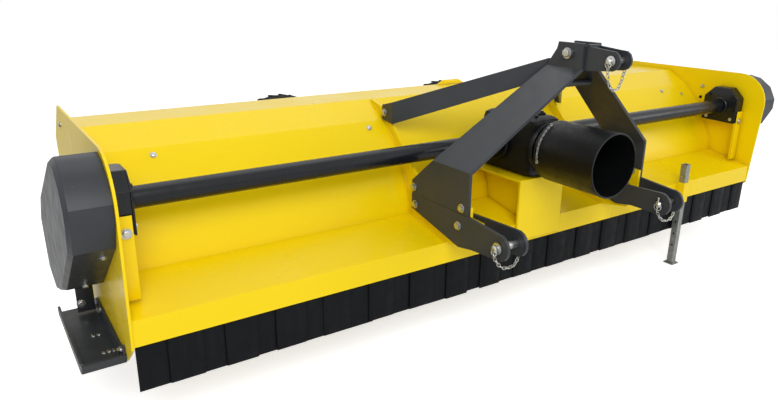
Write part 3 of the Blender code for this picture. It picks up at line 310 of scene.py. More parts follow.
# Charcoal enamel over rough plate: satin, slightly blue, with a coarse peel.
CHARCOAL = Enamel("charcoal_enamel", Slot.CHARCOAL, "323539", "3C4044", "24221D", 0.36, patch_mm=160.0,
    patch_share=0.5, grain_mm=4.0, grain_depth_mm=0.1, chip="8A857A", shine=0.3)
# Black enamel on cast iron and drawn tube: deep, satin, sand-cast grain.
BLACK = Enamel("black_enamel", Slot.BLACK, "0E1014", "161920", "060606", 0.27, patch_mm=120.0,
    patch_share=0.5, grain_mm=3.0, grain_depth_mm=0.1, coat=0.08, chip="3F3D39", chip_share=0.2, shine=0.3)
# Cast iron under black enamel: rougher and flatter than the tubes.
CASTING = Enamel("painted_cast_iron", Slot.BLACK, "0B0C0E", "131517", "050505", 0.48, patch_mm=80.0,
    patch_share=0.5, grain_mm=4.5, grain_depth_mm=0.45, chip="4A443C", chip_share=0.3, shine=0.25)
# Rubber of the curtain: matt black with dusty streaks.
CURTAIN_RUBBER = Rubber("curtain_rubber", Slot.RUBBER, "0D0F12", "13161A", "070708", 0.52, patch_mm=90.0,
    grain_mm=2.5, grain_depth_mm=0.08, bloom="1D2126", bloom_share=0.25, shine=0.12)
# Tyre rubber: matt and darker, browner where soil has dried.
TYRE_RUBBER = Rubber("tyre_rubber", Slot.TYRE, "121213", "1C1B1A", "2A2620", 0.74, patch_mm=70.0,
    grain_mm=2.5, grain_depth_mm=0.12, bloom="2E2C29", shine=0.15)
# Moulded polyethylene of the shaft shield: black, a stippled grain of some 3 mm, soft gloss.
PLASTIC = Finish("stippled_polyethylene", Slot.PLASTIC, "090A0B", "101214", "050505", 0.42, patch_mm=60.0,
    grain_mm=3.6, grain_depth_mm=0.55, shine=0.25)
# Zinc plate on bolts, pins and chains: pale and fairly bright.
ZINC = Plated("zinc_plate", Slot.ZINC, "B9BAB8", "9C9C98", "55534D", 0.3, metallic=1.0, patch_mm=40.0,
    grain_mm=1.5, grain_depth_mm=0.03, corner_shade_and_grime_reach_mm=6.0, mottle_mm=3.0)
# Hot-dip galvanised tube of the stand: dull grey with large flakes.
GALVANISED = Plated("galvanised_steel", Slot.ZINC, "8F928F", "7A7C79", "4C4A45", 0.48, metallic=0.85,
    patch_mm=60.0, grain_mm=3.0, grain_depth_mm=0.08, mottle_mm=14.0, pale="B4B7B4")
# Forged and turned steel of the rotor, hammers and shafts.
FORGED = Forged("forged_steel", Slot.STEEL, "6A6764", "55514C", "2B221A", 0.52, metallic=0.8, patch_mm=50.0,
    grain_mm=2.5, grain_depth_mm=0.15)


def turns(count: int, offset: float = 0.0) -> list[float]:
    """Angles of equal steps round a circle, the first one that many steps on."""
    return [math.tau * (step + offset) / count for step in range(count)]


def polish(mesh: Mesh, angle: float = 35.0) -> Mesh:
    """Shade the round walls smooth and keep the edges past an angle sharp."""
    mesh.shade_smooth()
    mesh.set_sharp_from_angle(angle=math.radians(angle))
    return mesh


def baked(holder: Piece, name: str) -> Mesh:
    """Evaluate an object with its modifiers and return the result as a plain mesh.

    Args:
        holder: Object whose modifiers are read; it is removed afterwards.
        name: Name of the new mesh.

    Returns:
        The plain mesh.
    """
    scene = bpy.context.scene
    if holder.name not in scene.collection.objects:
        scene.collection.objects.link(holder)
    bpy.context.view_layer.update()
    mesh = bpy.data.meshes.new_from_object(holder.evaluated_get(bpy.context.evaluated_depsgraph_get()))
    mesh.name = name
    bpy.data.objects.remove(holder, do_unlink=True)
    return mesh


def seat(name: str, mesh: Mesh, finish: Finish, body: str, stands_for: tuple[str, ...] = ()) -> Piece:
    """Link a finished piece at the origin, parent it to its body's empty and hide the CAD nodes that it stands
    for.

    Args:
        name: Name of the piece.
        mesh: Mesh with its place already in it.
        finish: Finish of the whole piece.
        body: Body that it moves with.
        stands_for: CAD nodes that it takes the place of.

    Returns:
        The new object.
    """
    piece = bpy.data.objects.new(name, mesh)
    bpy.context.scene.collection.objects.link(piece)
    mesh.materials.clear()
    mesh.materials.append(finish.build())
    for polygon in mesh.polygons:
        polygon.material_index = 0
    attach(piece, body)
    if stands_for:
        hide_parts(*stands_for)
    log.info("%s: %d faces on %s", name, len(mesh.polygons), body)
    return piece


def body_of_node(node: str) -> str:
    """Name of the body that holds a CAD node."""
    for body, nodes in frame["record"]["behaviour"]["bodies"].items():
        if node in nodes:
            return body
    return ROOT


def bevelled(holder: Piece, width: float, segments: int, angle: float) -> bpy.types.Modifier:
    """Give an object a bevel on its edges past an angle."""
    edge = holder.modifiers.new("edges", "BEVEL")
    edge.width = width
    edge.segments = segments
    edge.limit_method = "ANGLE"
    edge.angle_limit = math.radians(angle)
    return edge


def soften(node: str, finish: Finish, width: float, segments: int = 2, angle: float = EDGE_ANGLE) -> Piece:
    """Stand in for a CAD node with the same solid whose edges are rounded as on the real piece.

    Args:
        node: CAD node to copy.
        finish: Finish of the piece.
        width: Width of the rounding in metres.
        segments: Steps across the rounding.
        angle: Edges past this many degrees are rounded.

    Returns:
        The new piece.
    """
    mesh = frame["nodes"][node].data.copy()
    work = bmesh.new()
    work.from_mesh(mesh)
    bmesh.ops.remove_doubles(work, verts=work.verts, dist=0.00002)
    bmesh.ops.dissolve_limit(work, angle_limit=math.radians(0.6), verts=work.verts, edges=work.edges)
    work.to_mesh(mesh)
    work.free()
    polish(mesh)
    holder = bpy.data.objects.new(f"{node}_holder", mesh)
    edge = bevelled(holder, width, segments, angle)
    edge.harden_normals = True
    edge.use_clamp_overlap = True
    level = holder.modifiers.new("flats", "WEIGHTED_NORMAL")
    level.keep_sharp = True
    return seat(f"{node}_shell", baked(holder, node), finish, body_of_node(node), (node,))


def mesh_of(name: str, points: list, faces: list) -> Mesh:
    """Make a mesh of points and faces with its faces pointing out."""
    mesh = bpy.data.meshes.new(name)
    mesh.from_pydata([tuple(point) for point in points], [], faces)
    work = bmesh.new()
    work.from_mesh(mesh)
    bmesh.ops.recalc_face_normals(work, faces=work.faces)
    work.to_mesh(mesh)
    work.free()
    return mesh


def lathe(name: str, profile: Profile, axis: Axis, centre: Vector, steps: int = 40,
        ring: bool = False) -> Mesh:
    """Turn a profile of radius and place pairs round an axis.

    Args:
        name: Name of the mesh.
        profile: Radius and place along the axis, in order.
        axis: Axis that it is turned round.
        centre: Point of the machine where place zero lies.
        steps: Sides round the axis.
        ring: Whether the profile closes on itself, as a ring's section does.

    Returns:
        A closed mesh with smooth walls.
    """
    turn = axis.turn()
    points = []
    for radius, along in profile:
        for angle in turns(steps):
            points.append(centre + turn @ Vector((radius * math.cos(angle), radius * math.sin(angle),
                along)))
    faces = []
    rows = len(profile)
    for row in range(rows if ring else rows - 1):
        low = row * steps
        high = (row + 1) % rows * steps
        for step in range(steps):
            other = (step + 1) % steps
            faces.append((low + step, low + other, high + other, high + step))
    if not ring:
        faces.append(tuple(range(steps)))
        faces.append(tuple(range((rows - 1) * steps, rows * steps)))
    return polish(mesh_of(name, points, faces))


def sided(profile: Profile, side: int, start: float = 0.0) -> Profile:
    """Count a profile's places along its axis from a start towards one side of the machine."""
    return [(radius, start + side * along) for radius, along in profile]


def mirrored(profile: Profile, middle: Profile | tuple[()] = ()) -> Profile:
    """Close a profile with its mirror image on the far side of place zero."""
    return [*profile, *middle, *((radius, -along) for radius, along in reversed(profile))]


def slab(name: str, outline: Profile, low: float, high: float, bevel: float = 0.0015) -> Mesh:
    """Make a plate from an outline in Y and Z between two places along X, with eased edges.

    Args:
        name: Name of the mesh.
        outline: Y from the lip and Z of each corner.
        low: Lower X.
        high: Higher X.
        bevel: Width of the eased edges.

    Returns:
        The plate's mesh.
    """
    count = len(outline)
    points = [at(x, y, z) for x in (low, high) for y, z in outline]
    faces = [tuple(range(count)), tuple(range(count, 2 * count))]
    for index in range(count):
        other = (index + 1) % count
        faces.append((index, other, count + other, count + index))
    return eased(mesh_of(name, points, faces), bevel)


def eased(mesh: Mesh, width: float, segments: int = 2) -> Mesh:
    """Round every sharp edge of a mesh by a width."""
    holder = bpy.data.objects.new(f"{mesh.name}_holder", mesh)
    bevelled(holder, width, segments, EDGE_ANGLE)
    return polish(baked(holder, mesh.name), 50.0)


def box_mesh(name: str, low: Vector, high: Vector, bevel: float = 0.002) -> Mesh:
    """Make a box between two corners with eased edges."""
    corners = [Vector((x, y, z)) for x in (low.x, high.x) for y in (low.y, high.y) for z in (low.z, high.z)]
    faces = [(0, 1, 3, 2), (4, 6, 7, 5), (0, 4, 5, 1), (2, 3, 7, 6), (0, 2, 6, 4), (1, 5, 7, 3)]
    return eased(mesh_of(name, corners, faces), bevel)


def joined(name: str, meshes: list[Mesh]) -> Mesh:
    """Put several meshes of one body and finish into one."""
    work = bmesh.new()
    for mesh in meshes:
        work.from_mesh(mesh)
    result = bpy.data.meshes.new(name)
    work.to_mesh(result)
    work.free()
    return polish(result)


SOCKET_KINDS = {float: "NodeSocketFloat", int: "NodeSocketInt", tuple: "NodeSocketVector"}


@dataclass
class Recipe:
    """A Geometry Nodes tree with named inputs, run on points or lines and baked to a plain mesh."""

    name: str
    inputs: dict[str, object] = field(default_factory=dict)

    def start(self) -> tuple[Tree, bpy.types.NodeOutputs]:
        """Make the empty tree with its sockets.

        Returns:
            The tree and the outputs of its input node.
        """
        tree = bpy.data.node_groups.new(self.name, "GeometryNodeTree")
        tree.interface.new_socket("Geometry", in_out="INPUT", socket_type="NodeSocketGeometry")
        for label, value in self.inputs.items():
            kind = SOCKET_KINDS[type(value)]
            tree.interface.new_socket(label, in_out="INPUT", socket_type=kind).default_value = value
        tree.interface.new_socket("Finish", in_out="INPUT", socket_type="NodeSocketMaterial")
        tree.interface.new_socket("Geometry", in_out="OUTPUT", socket_type="NodeSocketGeometry")
        return tree, add_node(tree, "NodeGroupInput").outputs

    def close(self, add: Adder, given: bpy.types.NodeOutputs, instances: Node) -> None:
        """End the tree: real meshes, their finish and the output."""
        real = add("GeometryNodeRealizeInstances", {"Geometry": instances})
        painted = add("GeometryNodeSetMaterial", {"Geometry": real, "Material": given["Finish"]})
        add("NodeGroupOutput", {"Geometry": painted})

    def tree(self) -> Tree:
        """Return the finished tree, made on first use."""
        if self.name in bpy.data.node_groups:
            return bpy.data.node_groups[self.name]
        tree, given = self.start()
        add = partial(add_node, tree)
        self.close(add, given, self.fill(add, given))
        return tree

    def fill(self, add: Adder, given: bpy.types.NodeOutputs) -> Node:
        """Add the nodes of one recipe and return the instances."""
        raise NotImplementedError

    def run(self, name: str, seed: Mesh, finish: Finish, values: dict[str, object] | None = None) -> Mesh:
        """Run the tree on a mesh of points or edges.

        Args:
            name: Name of the result.
            seed: Points or edges that carry the copies.
            finish: Finish of the copies.
            values: Input name to value, where it differs from the default.

        Returns:
            The plain mesh.
        """
        holder = bpy.data.objects.new(f"{name}_seed", seed)
        change = holder.modifiers.new(self.name, "NODES")
        change.node_group = self.tree()
        chosen = {**self.inputs, **(values or {}), "Finish": finish.build()}
        for item in change.node_group.interface.items_tree:
            if item.in_out == "INPUT" and item.name in chosen:
                change[item.identifier] = chosen[item.name]
        return baked(holder, name)


def seed_points(name: str, places: list[Vector], facing: list[Vector], size: list[float]) -> Mesh:
    """Make loose points that carry a direction and a size.

    Args:
        name: Name of the mesh.
        places: Where the copies stand.
        facing: Direction that each copy's own Z takes.
        size: Scale of each copy.

    Returns:
        The mesh of points.
    """
    mesh = bpy.data.meshes.new(name)
    mesh.from_pydata([tuple(place) for place in places], [], [])
    turn = mesh.attributes.new("facing", "FLOAT_VECTOR", "POINT")
    for index, way in enumerate(facing):
        turn.data[index].vector = way
    scale = mesh.attributes.new("size", "FLOAT", "POINT")
    for index, amount in enumerate(size):
        scale.data[index].value = amount
    return mesh


def seed_line(name: str, points: list[Vector], closed: bool = False) -> Mesh:
    """Make a line of edges through points."""
    edges = [(index, index + 1) for index in range(len(points) - 1)]
    if closed:
        edges.append((len(points) - 1, 0))
    mesh = bpy.data.meshes.new(name)
    mesh.from_pydata([tuple(point) for point in points], edges, [])
    return mesh


@dataclass
class BoltRecipe(Recipe):
    """Hexagon bolt heads on washers, one for each point."""

    def fill(self, add: Adder, given: bpy.types.NodeOutputs) -> Node:
        """Join a washer, a hexagon and its turned cap, and stand the lot on the points."""
        washer = add("GeometryNodeMeshCylinder", {"Vertices": 24, "Radius": 1.3, "Depth": 0.22})
        head = add("GeometryNodeMeshCylinder", {"Vertices": 6, "Radius": 1.0, "Depth": 0.6})
        cap = add("GeometryNodeMeshCone", {"Vertices": 18, "Radius Top": 0.66, "Radius Bottom": 0.9,
            "Depth": 0.1})
        whole = add("GeometryNodeJoinGeometry")
        for part, lift in ((washer, 0.11), (head, 0.52), (cap, 0.815)):
            move = add("GeometryNodeTransform", {"Geometry": part, "Translation": (0.0, 0.0, lift)})
            whole.id_data.links.new(move.outputs["Geometry"], whole.inputs["Geometry"])
        way = add("GeometryNodeInputNamedAttribute", {"Name": "facing"}, data_type="FLOAT_VECTOR")
        size = add("GeometryNodeInputNamedAttribute", {"Name": "size"}, data_type="FLOAT")
        turn = add("FunctionNodeAlignRotationToVector", {"Vector": way}, axis="Z")
        return add("GeometryNodeInstanceOnPoints", {"Points": given["Geometry"], "Instance": whole,
            "Rotation": turn.outputs["Rotation"], "Scale": size})


@dataclass
class ChainRecipe(Recipe):
    """Welded chain along a line: oval links, each turned a quarter from the last."""

    inputs: dict[str, object] = field(default_factory=lambda: {"Pitch": 0.013, "Wire": 0.0016})

    def fill(self, add: Adder, given: bpy.types.NodeOutputs) -> Node:
        """Resample the line at the pitch and set a link on each point."""
        line = add("GeometryNodeMeshToCurve", {"Mesh": given["Geometry"]})
        even = add("GeometryNodeResampleCurve", {"Curve": line, "Length": given["Pitch"]}, mode="LENGTH")
        loop = add("GeometryNodeCurvePrimitiveCircle", {"Resolution": 14, "Radius": 1.0})
        longer = add("ShaderNodeMath", {0: given["Pitch"], 1: 0.68}, operation="MULTIPLY")
        wide = add("ShaderNodeMath", {0: given["Pitch"], 1: 0.4}, operation="MULTIPLY")
        shape = add("ShaderNodeCombineXYZ", {"X": longer, "Y": wide, "Z": 1.0})
        oval = add("GeometryNodeTransform", {"Geometry": loop, "Scale": shape})
        wire = add("GeometryNodeCurvePrimitiveCircle", {"Resolution": 6, "Radius": given["Wire"]})
        link = add("GeometryNodeCurveToMesh", {"Curve": oval, "Profile Curve": wire})
        tangent = add("GeometryNodeInputTangent")
        along = add("FunctionNodeAlignRotationToVector", {"Vector": tangent}, axis="X")
        index = add("GeometryNodeInputIndex")
        odd = add("ShaderNodeMath", {0: index, 1: 2.0}, operation="MODULO")
        quarter = add("ShaderNodeMath", {0: odd, 1: math.pi / 2}, operation="MULTIPLY")
        roll = add("FunctionNodeAxisAngleToRotation", {"Axis": (1.0, 0.0, 0.0), "Angle": quarter})
        both = add("FunctionNodeRotateRotation", {"Rotation": along, "Rotate By": roll},
            rotation_space="LOCAL")
        return add("GeometryNodeInstanceOnPoints", {"Points": even, "Instance": link, "Rotation": both})


@dataclass
class StripRecipe(Recipe):
    """Rubber strips that hang side by side from a row of points, each a little different."""

    inputs: dict[str, object] = field(default_factory=lambda: {"Width": 0.1, "Drop": 0.2, "Thickness": 0.005,
        "Lean": 0.02, "Seed": 7})

    def fill(self, add: Adder, given: bpy.types.NodeOutputs) -> Node:
        """Hang one slab below each point, with a small random lean and length."""
        size = add("ShaderNodeCombineXYZ", {"X": given["Width"], "Y": given["Thickness"],
            "Z": given["Drop"]})
        sheet = add("GeometryNodeMeshCube", {"Size": size, "Vertices X": 4, "Vertices Y": 2,
            "Vertices Z": 6})
        half = add("ShaderNodeMath", {0: given["Drop"], 1: -0.5}, operation="MULTIPLY")
        down = add("ShaderNodeCombineXYZ", {"Z": half})
        hung = add("GeometryNodeTransform", {"Geometry": sheet, "Translation": down})
        back = add("ShaderNodeMath", {0: given["Lean"], 1: -1.0}, operation="MULTIPLY")
        least = add("ShaderNodeCombineXYZ", {"X": back})
        most = add("ShaderNodeCombineXYZ", {"X": given["Lean"]})
        lean = add("FunctionNodeRandomValue", {"Min": least, "Max": most, "Seed": given["Seed"]},
            data_type="FLOAT_VECTOR")
        turn = add("FunctionNodeEulerToRotation", {"Euler": lean})
        length = add("FunctionNodeRandomValue", {"Min": (1.0, 1.0, 0.975), "Max": (1.0, 1.0, 1.0),
            "Seed": given["Seed"]}, data_type="FLOAT_VECTOR")
        return add("GeometryNodeInstanceOnPoints", {"Points": given["Geometry"], "Instance": hung,
            "Rotation": turn.outputs["Rotation"], "Scale": length})


@dataclass
class LugRecipe(Recipe):
    """Bars set round an axle along Y: tyre lugs and shaft splines."""

    inputs: dict[str, object] = field(default_factory=lambda: {"Size": (0.02, 0.1, 0.01), "Twist": 0.0})

    def fill(self, add: Adder, given: bpy.types.NodeOutputs) -> Node:
        """Stand one bar on each point with its own Z along the point's direction."""
        bar = add("GeometryNodeMeshCube", {"Size": given["Size"], "Vertices X": 2, "Vertices Y": 2,
            "Vertices Z": 2})
        way = add("GeometryNodeInputNamedAttribute", {"Name": "facing"}, data_type="FLOAT_VECTOR")
        size = add("GeometryNodeInputNamedAttribute", {"Name": "size"}, data_type="FLOAT")
        turn = add("FunctionNodeAlignRotationToVector", {"Vector": way}, axis="Z", pivot_axis="Y")
        angle = add("ShaderNodeMath", {0: size, 1: given["Twist"]}, operation="MULTIPLY")
        spin = add("FunctionNodeAxisAngleToRotation", {"Axis": (0.0, 0.0, 1.0), "Angle": angle})
        both = add("FunctionNodeRotateRotation", {"Rotation": turn, "Rotate By": spin},
            rotation_space="LOCAL")
        return add("GeometryNodeInstanceOnPoints", {"Points": given["Geometry"], "Instance": bar,
            "Rotation": both})


@dataclass
class WeldRecipe(Recipe):
    """Weld bead along a line: overlapping flattened drops."""

    inputs: dict[str, object] = field(default_factory=lambda: {"Pitch": 0.005, "Radius": 0.0045})

    def fill(self, add: Adder, given: bpy.types.NodeOutputs) -> Node:
        """Resample the line and set a low drop on each point."""
        line = add("GeometryNodeMeshToCurve", {"Mesh": given["Geometry"]})
        even = add("GeometryNodeResampleCurve", {"Curve": line, "Length": given["Pitch"]}, mode="LENGTH")
        drop = add("GeometryNodeMeshUVSphere", {"Segments": 8, "Rings": 5, "Radius": given["Radius"]})
        smooth = add("GeometryNodeSetShadeSmooth", {"Geometry": drop})
        return add("GeometryNodeInstanceOnPoints", {"Points": even, "Instance": smooth})


BOLTS = BoltRecipe("bolt_heads")
CHAIN = ChainRecipe("welded_chain")
STRIPS = StripRecipe("curtain_strips")
LUGS = LugRecipe("radial_bars")
WELD = WeldRecipe("weld_bead")


def bolts(name: str, body: str, places: list[tuple[Vector, Vector, float]], finish: Finish = ZINC) -> Piece:
    """Fit hexagon bolts of one body.

    Args:
        name: Name of the piece.
        body: Body that they move with.
        places: Seat, direction and corner radius of each head.
        finish: Finish of the heads.

    Returns:
        The piece with all the heads.
    """
    seed = seed_points(f"{name}_seed", [p for p, w, s in places], [w for p, w, s in places],
        [s for p, w, s in places])
    return seat(name, BOLTS.run(name, seed, finish), finish, body)


def weld(name: str, lines: list[list[Vector]], finish: Finish = YELLOW, radius: float = 0.0045) -> Piece:
    """Lay weld beads along lines on the frame's body."""
    beads = [WELD.run(f"{name}_{index}", seed_line(f"{name}_line", line), finish,
        {"Radius": radius}) for index, line in enumerate(lines)]
    return seat(name, joined(name, beads), finish, ROOT)


@dataclass
class Hood:
    """Folded yellow hood, its side plates, gearbox stool, welds and small fittings."""

    fold_radius: float = 0.0022
    plate_edge: float = 0.0014
    bolt: float = 0.0085
    rivet_x: tuple[float, ...] = (-1.388, -0.555, 1.336)
    tab_x: tuple[float, float] = (0.035, 0.165)
    rib_x: float = 0.4697
    rib_inner_x: float = 0.4003
    rib_t: float = 0.012

    def build(self) -> None:
        """Build every piece of the sheet-metal body."""
        for node in ("hood", "gearbox_mount"):
            soften(node, YELLOW, self.fold_radius)
        for label, _ in SIDES:
            soften(f"side_plate_{label}", YELLOW, self.plate_edge)
        self.fasteners()
        self.rear_tab()
        self.welds()

    def fasteners(self) -> None:
        """Bolt heads on the hood's facets and on the side plates' outer faces."""
        places = []
        places.extend((at(x, 0.408, 0.7785), FACET_OUT, self.bolt) for x in self.rivet_x)
        for side in (-1, 1):
            outer = side * PLATE_OUTER_X
            for y, z in ((0.824, 0.828), (0.722, 0.64), (0.722, 0.5)):
                places.append((at(outer, y, z), X_AXIS * side, self.bolt))
        places.append((at(1.487, 0.385, 0.756), FACET_OUT, self.bolt * 0.8))
        places.append((at(PLATE_INNER_X, 0.33, 0.799), -X_AXIS, self.bolt))
        bolts("hood_bolts", ROOT, places)
        bolts("plate_stud", ROOT, [(at(PLATE_INNER_X, 0.332, 0.739), -X_AXIS, 0.0065)], BLACK)

    def rear_tab(self) -> None:
        """Low tab that stands over the hood's rear edge."""
        low, high = self.tab_x
        outline = [(low - 0.02, 0.868), (high + 0.02, 0.868), (high - 0.02, 0.889), (low + 0.02, 0.889)]
        y = 0.715
        points = [at(x, depth, z) for depth in (y, y + 0.008) for x, z in outline]
        faces = [(0, 1, 2, 3), (4, 5, 6, 7), (0, 1, 5, 4), (1, 2, 6, 5), (2, 3, 7, 6), (3, 0, 4, 7)]
        seat("hood_tab", eased(mesh_of("hood_tab", points, faces), 0.0015), YELLOW, ROOT)

    def welds(self) -> None:
        """Weld beads where the ribs and side plates meet the hood."""
        line = [(0.0, 0.413), (0.235, 0.46), (0.245, 0.528), (0.34, 0.712), (0.43, 0.8), (0.51, 0.8465)]
        lines = []
        for side in (-1, 1):
            for x in (self.rib_x, self.rib_x - self.rib_t):
                lines.append([at(side * x, y - 0.001, z + 0.001) for y, z in line])
            for x in (self.rib_inner_x, self.rib_inner_x + self.rib_t):
                lines.append([at(side * x, y - 0.001, z + 0.001) for y, z in line[:3]])
            lines.append([at(side * 1.5915, y - 0.001, z + 0.001) for y, z in line])
        weld("hood_welds", lines, radius=0.0035)


@dataclass(frozen=True)
class PinTrim:
    """Fittings of a linkage pin: drop, radius and wire of each ring, the peg, and the chain's hang."""

    pull: tuple[float, float, float]
    linch: tuple[float, float, float]
    peg: Profile
    chain: tuple[float, float, float, float]

    def fit(self, body: str, profile: Profile, centre: Vector, outer: Vector, inner: Vector) -> None:
        """Seat a pin's bar, its rings and peg, and the chain between its ends.

        Args:
            body: Body of the pin, which is also the name of its CAD node.
            profile: Profile of the bar.
            centre: Middle of the pin.
            outer: Where the pull ring hangs.
            inner: Where the linch pin goes through.
        """
        seat(f"{body}_bar", lathe(body, profile, Axis.X, centre, 28), ZINC, body, (body,))
        rings = []
        for end, (drop, radius, wire) in ((outer, self.pull), (inner, self.linch)):
            rings.append(torus(f"{body}_ring", end - Z_AXIS * drop, radius, wire))

        rings.append(lathe(f"{body}_peg", self.peg, Axis.Z, inner, 12))
        seat(f"{body}_rings", joined(f"{body}_rings", rings), ZINC, body)
        start, end, sag, forward = self.chain
        hang(f"{body}_chain", body, outer - Z_AXIS * start, inner - Z_AXIS * end, sag, forward)


LOWER_TRIM = PinTrim((0.012, 0.0115, 0.0022), (0.01, 0.015, 0.002),
    [(0.0034, -0.02), (0.0034, 0.022), (0.0052, 0.024), (0.0052, 0.03)], (0.024, 0.026, 0.05, -0.012))
UPPER_TRIM = PinTrim((0.011, 0.011, 0.002), (0.009, 0.014, 0.0019),
    [(0.0032, -0.018), (0.0032, 0.02), (0.0048, 0.022), (0.0048, 0.027)], (0.021, 0.022, 0.078, 0.0))


@dataclass
class Mast:
    """Headstock: bent arms, back stays, head bolt, swinging top-link bracket and hitch plates."""

    edge: float = 0.0018
    bolt: float = 0.0125
    arm_face_x: float = 0.482
    rib_face_x: float = 0.4577
    stay_face_x: float = 0.48
    pin_y: float = -0.285
    pin_z: float = 0.492
    pin_end_x: float = 0.047

    def build(self) -> None:
        """Build the plates, then their bolts and pins."""
        for label, _ in SIDES:
            for plate in ("mast_arm", "back_stay", "hitch_plate_outer", "hitch_plate_inner"):
                soften(f"{plate}_{label}", CHARCOAL, self.edge)
        soften("head_bolt", ZINC, 0.0008)
        soften("top_link_bracket", CHARCOAL, 0.0012)
        self.fasteners()
        for label, side in SIDES:
            self.hitch_pin(label, side)
        self.top_pin()

    def fasteners(self) -> None:
        """Bolt heads and nuts of the linkage."""
        places = []
        for side in (-1, 1):
            way = X_AXIS * side
            for y, z in ((0.195, 0.58), (-0.091, 0.576), (0.185, 0.512), (-0.076, 0.506)):
                places.append((at(side * self.arm_face_x, y, z), way, self.bolt))
                places.append((at(side * self.rib_face_x, y, z), -way, self.bolt * 0.92))
            for y, z in ((-0.043, 0.508), (-0.043, 0.462)):
                places.append((at(side * 0.388, y, z), -way, self.bolt * 0.9))
            places.append((at(side * self.stay_face_x, 0.41, 0.8335), way, self.bolt * 0.92))
        bolts("mast_bolts", ROOT, places)
        ends = [(at(side * 0.0593, -0.13, 1.094), X_AXIS * side, 0.015) for side in (-1, 1)]
        bolts("head_bolt_nuts", ROOT, ends)
        # Thin black strips along the joint of each arm and hitch plate: a painted shadow of the narrow gap between
        # the plates.
        for label, side in SIDES:
            low, high = sorted((side * 0.479, side * 0.4824))
            line = [(-0.121, 0.5514), (0.203, 0.5514), (0.203, 0.5534), (-0.121, 0.5534)]
            seat(f"mast_seam_{label}", slab(f"mast_seam_{label}", line, low, high, 0.0003), BLACK, ROOT)
        spacer = lathe("head_spacer", [(0.013, -0.108), (0.013, 0.108)], Axis.X, at(0.0, -0.1, 0.979), 28)
        seat("head_spacer", spacer, CHARCOAL, ROOT)

    def hitch_pin(self, label: str, side: int) -> None:
        """Lower pin with its head, pull ring and linch pin, and the chain between its ends."""
        centre = at(side * 0.435, self.pin_y, self.pin_z)
        end = self.pin_end_x
        profile = [(0.006, -end - 0.017), (0.0135, -end - 0.01), (0.0139, -end), (0.0139, end + 0.0005),
            (0.0205, end + 0.0015), (0.0205, end + 0.0065), (0.0135, end + 0.0085), (0.0135, end + 0.019),
            (0.0085, end + 0.0235)]
        outer = centre + X_AXIS * side * (end + 0.018)
        inner = centre - X_AXIS * side * (end + 0.01)
        LOWER_TRIM.fit(f"hitch_pin_{label}", sided(profile, side), centre, outer, inner)

    def top_pin(self) -> None:
        """Upper pin with its pull ring, linch pin and chain."""
        centre = at(0.0, -0.303, 1.08)
        end = 0.034
        profile = [(0.006, end + 0.0165), (0.012, end + 0.0105), (0.0125, end), (0.0125, -end - 0.0005),
            (0.0185, -end - 0.0015), (0.0185, -end - 0.0065), (0.0115, -end - 0.0085),
            (0.0115, -end - 0.0185), (0.007, -end - 0.0225)]
        outer = centre - X_AXIS * (end + 0.017)
        inner = centre + X_AXIS * (end + 0.009)
        UPPER_TRIM.fit("top_link_pin", profile, centre, outer, inner)


def torus(name: str, centre: Vector, radius: float, wire: float) -> Mesh:
    """Make a ring of round wire about an axis along X."""
    profile = [(radius + wire * math.cos(angle), wire * math.sin(angle)) for angle in turns(8)]
    return lathe(name, profile, Axis.X, centre, 28, ring=True)


def hang(name: str, body: str, start: Vector, end: Vector, sag: float, forward: float) -> Piece:
    """Hang a chain of welded links between two points of one body.

    Args:
        name: Name of the piece.
        body: Body that carries both ends.
        start: One end.
        end: Other end.
        sag: Depth of the bow below the straight line.
        forward: How far the bow's middle stands off in Y.

    Returns:
        The chain.
    """
    points = []
    for step in range(CHAIN_STEPS + 1):
        share = step / CHAIN_STEPS
        bow = 1 - (2 * share - 1) ** 2
        full = 1 - abs(2 * share - 1) ** 3
        points.append(start.lerp(end, share) - Z_AXIS * sag * full + Y_AXIS * forward * bow)
    mesh = CHAIN.run(name, seed_line(f"{name}_line", points), ZINC)
    return seat(name, polish(mesh, 60.0), ZINC, body)


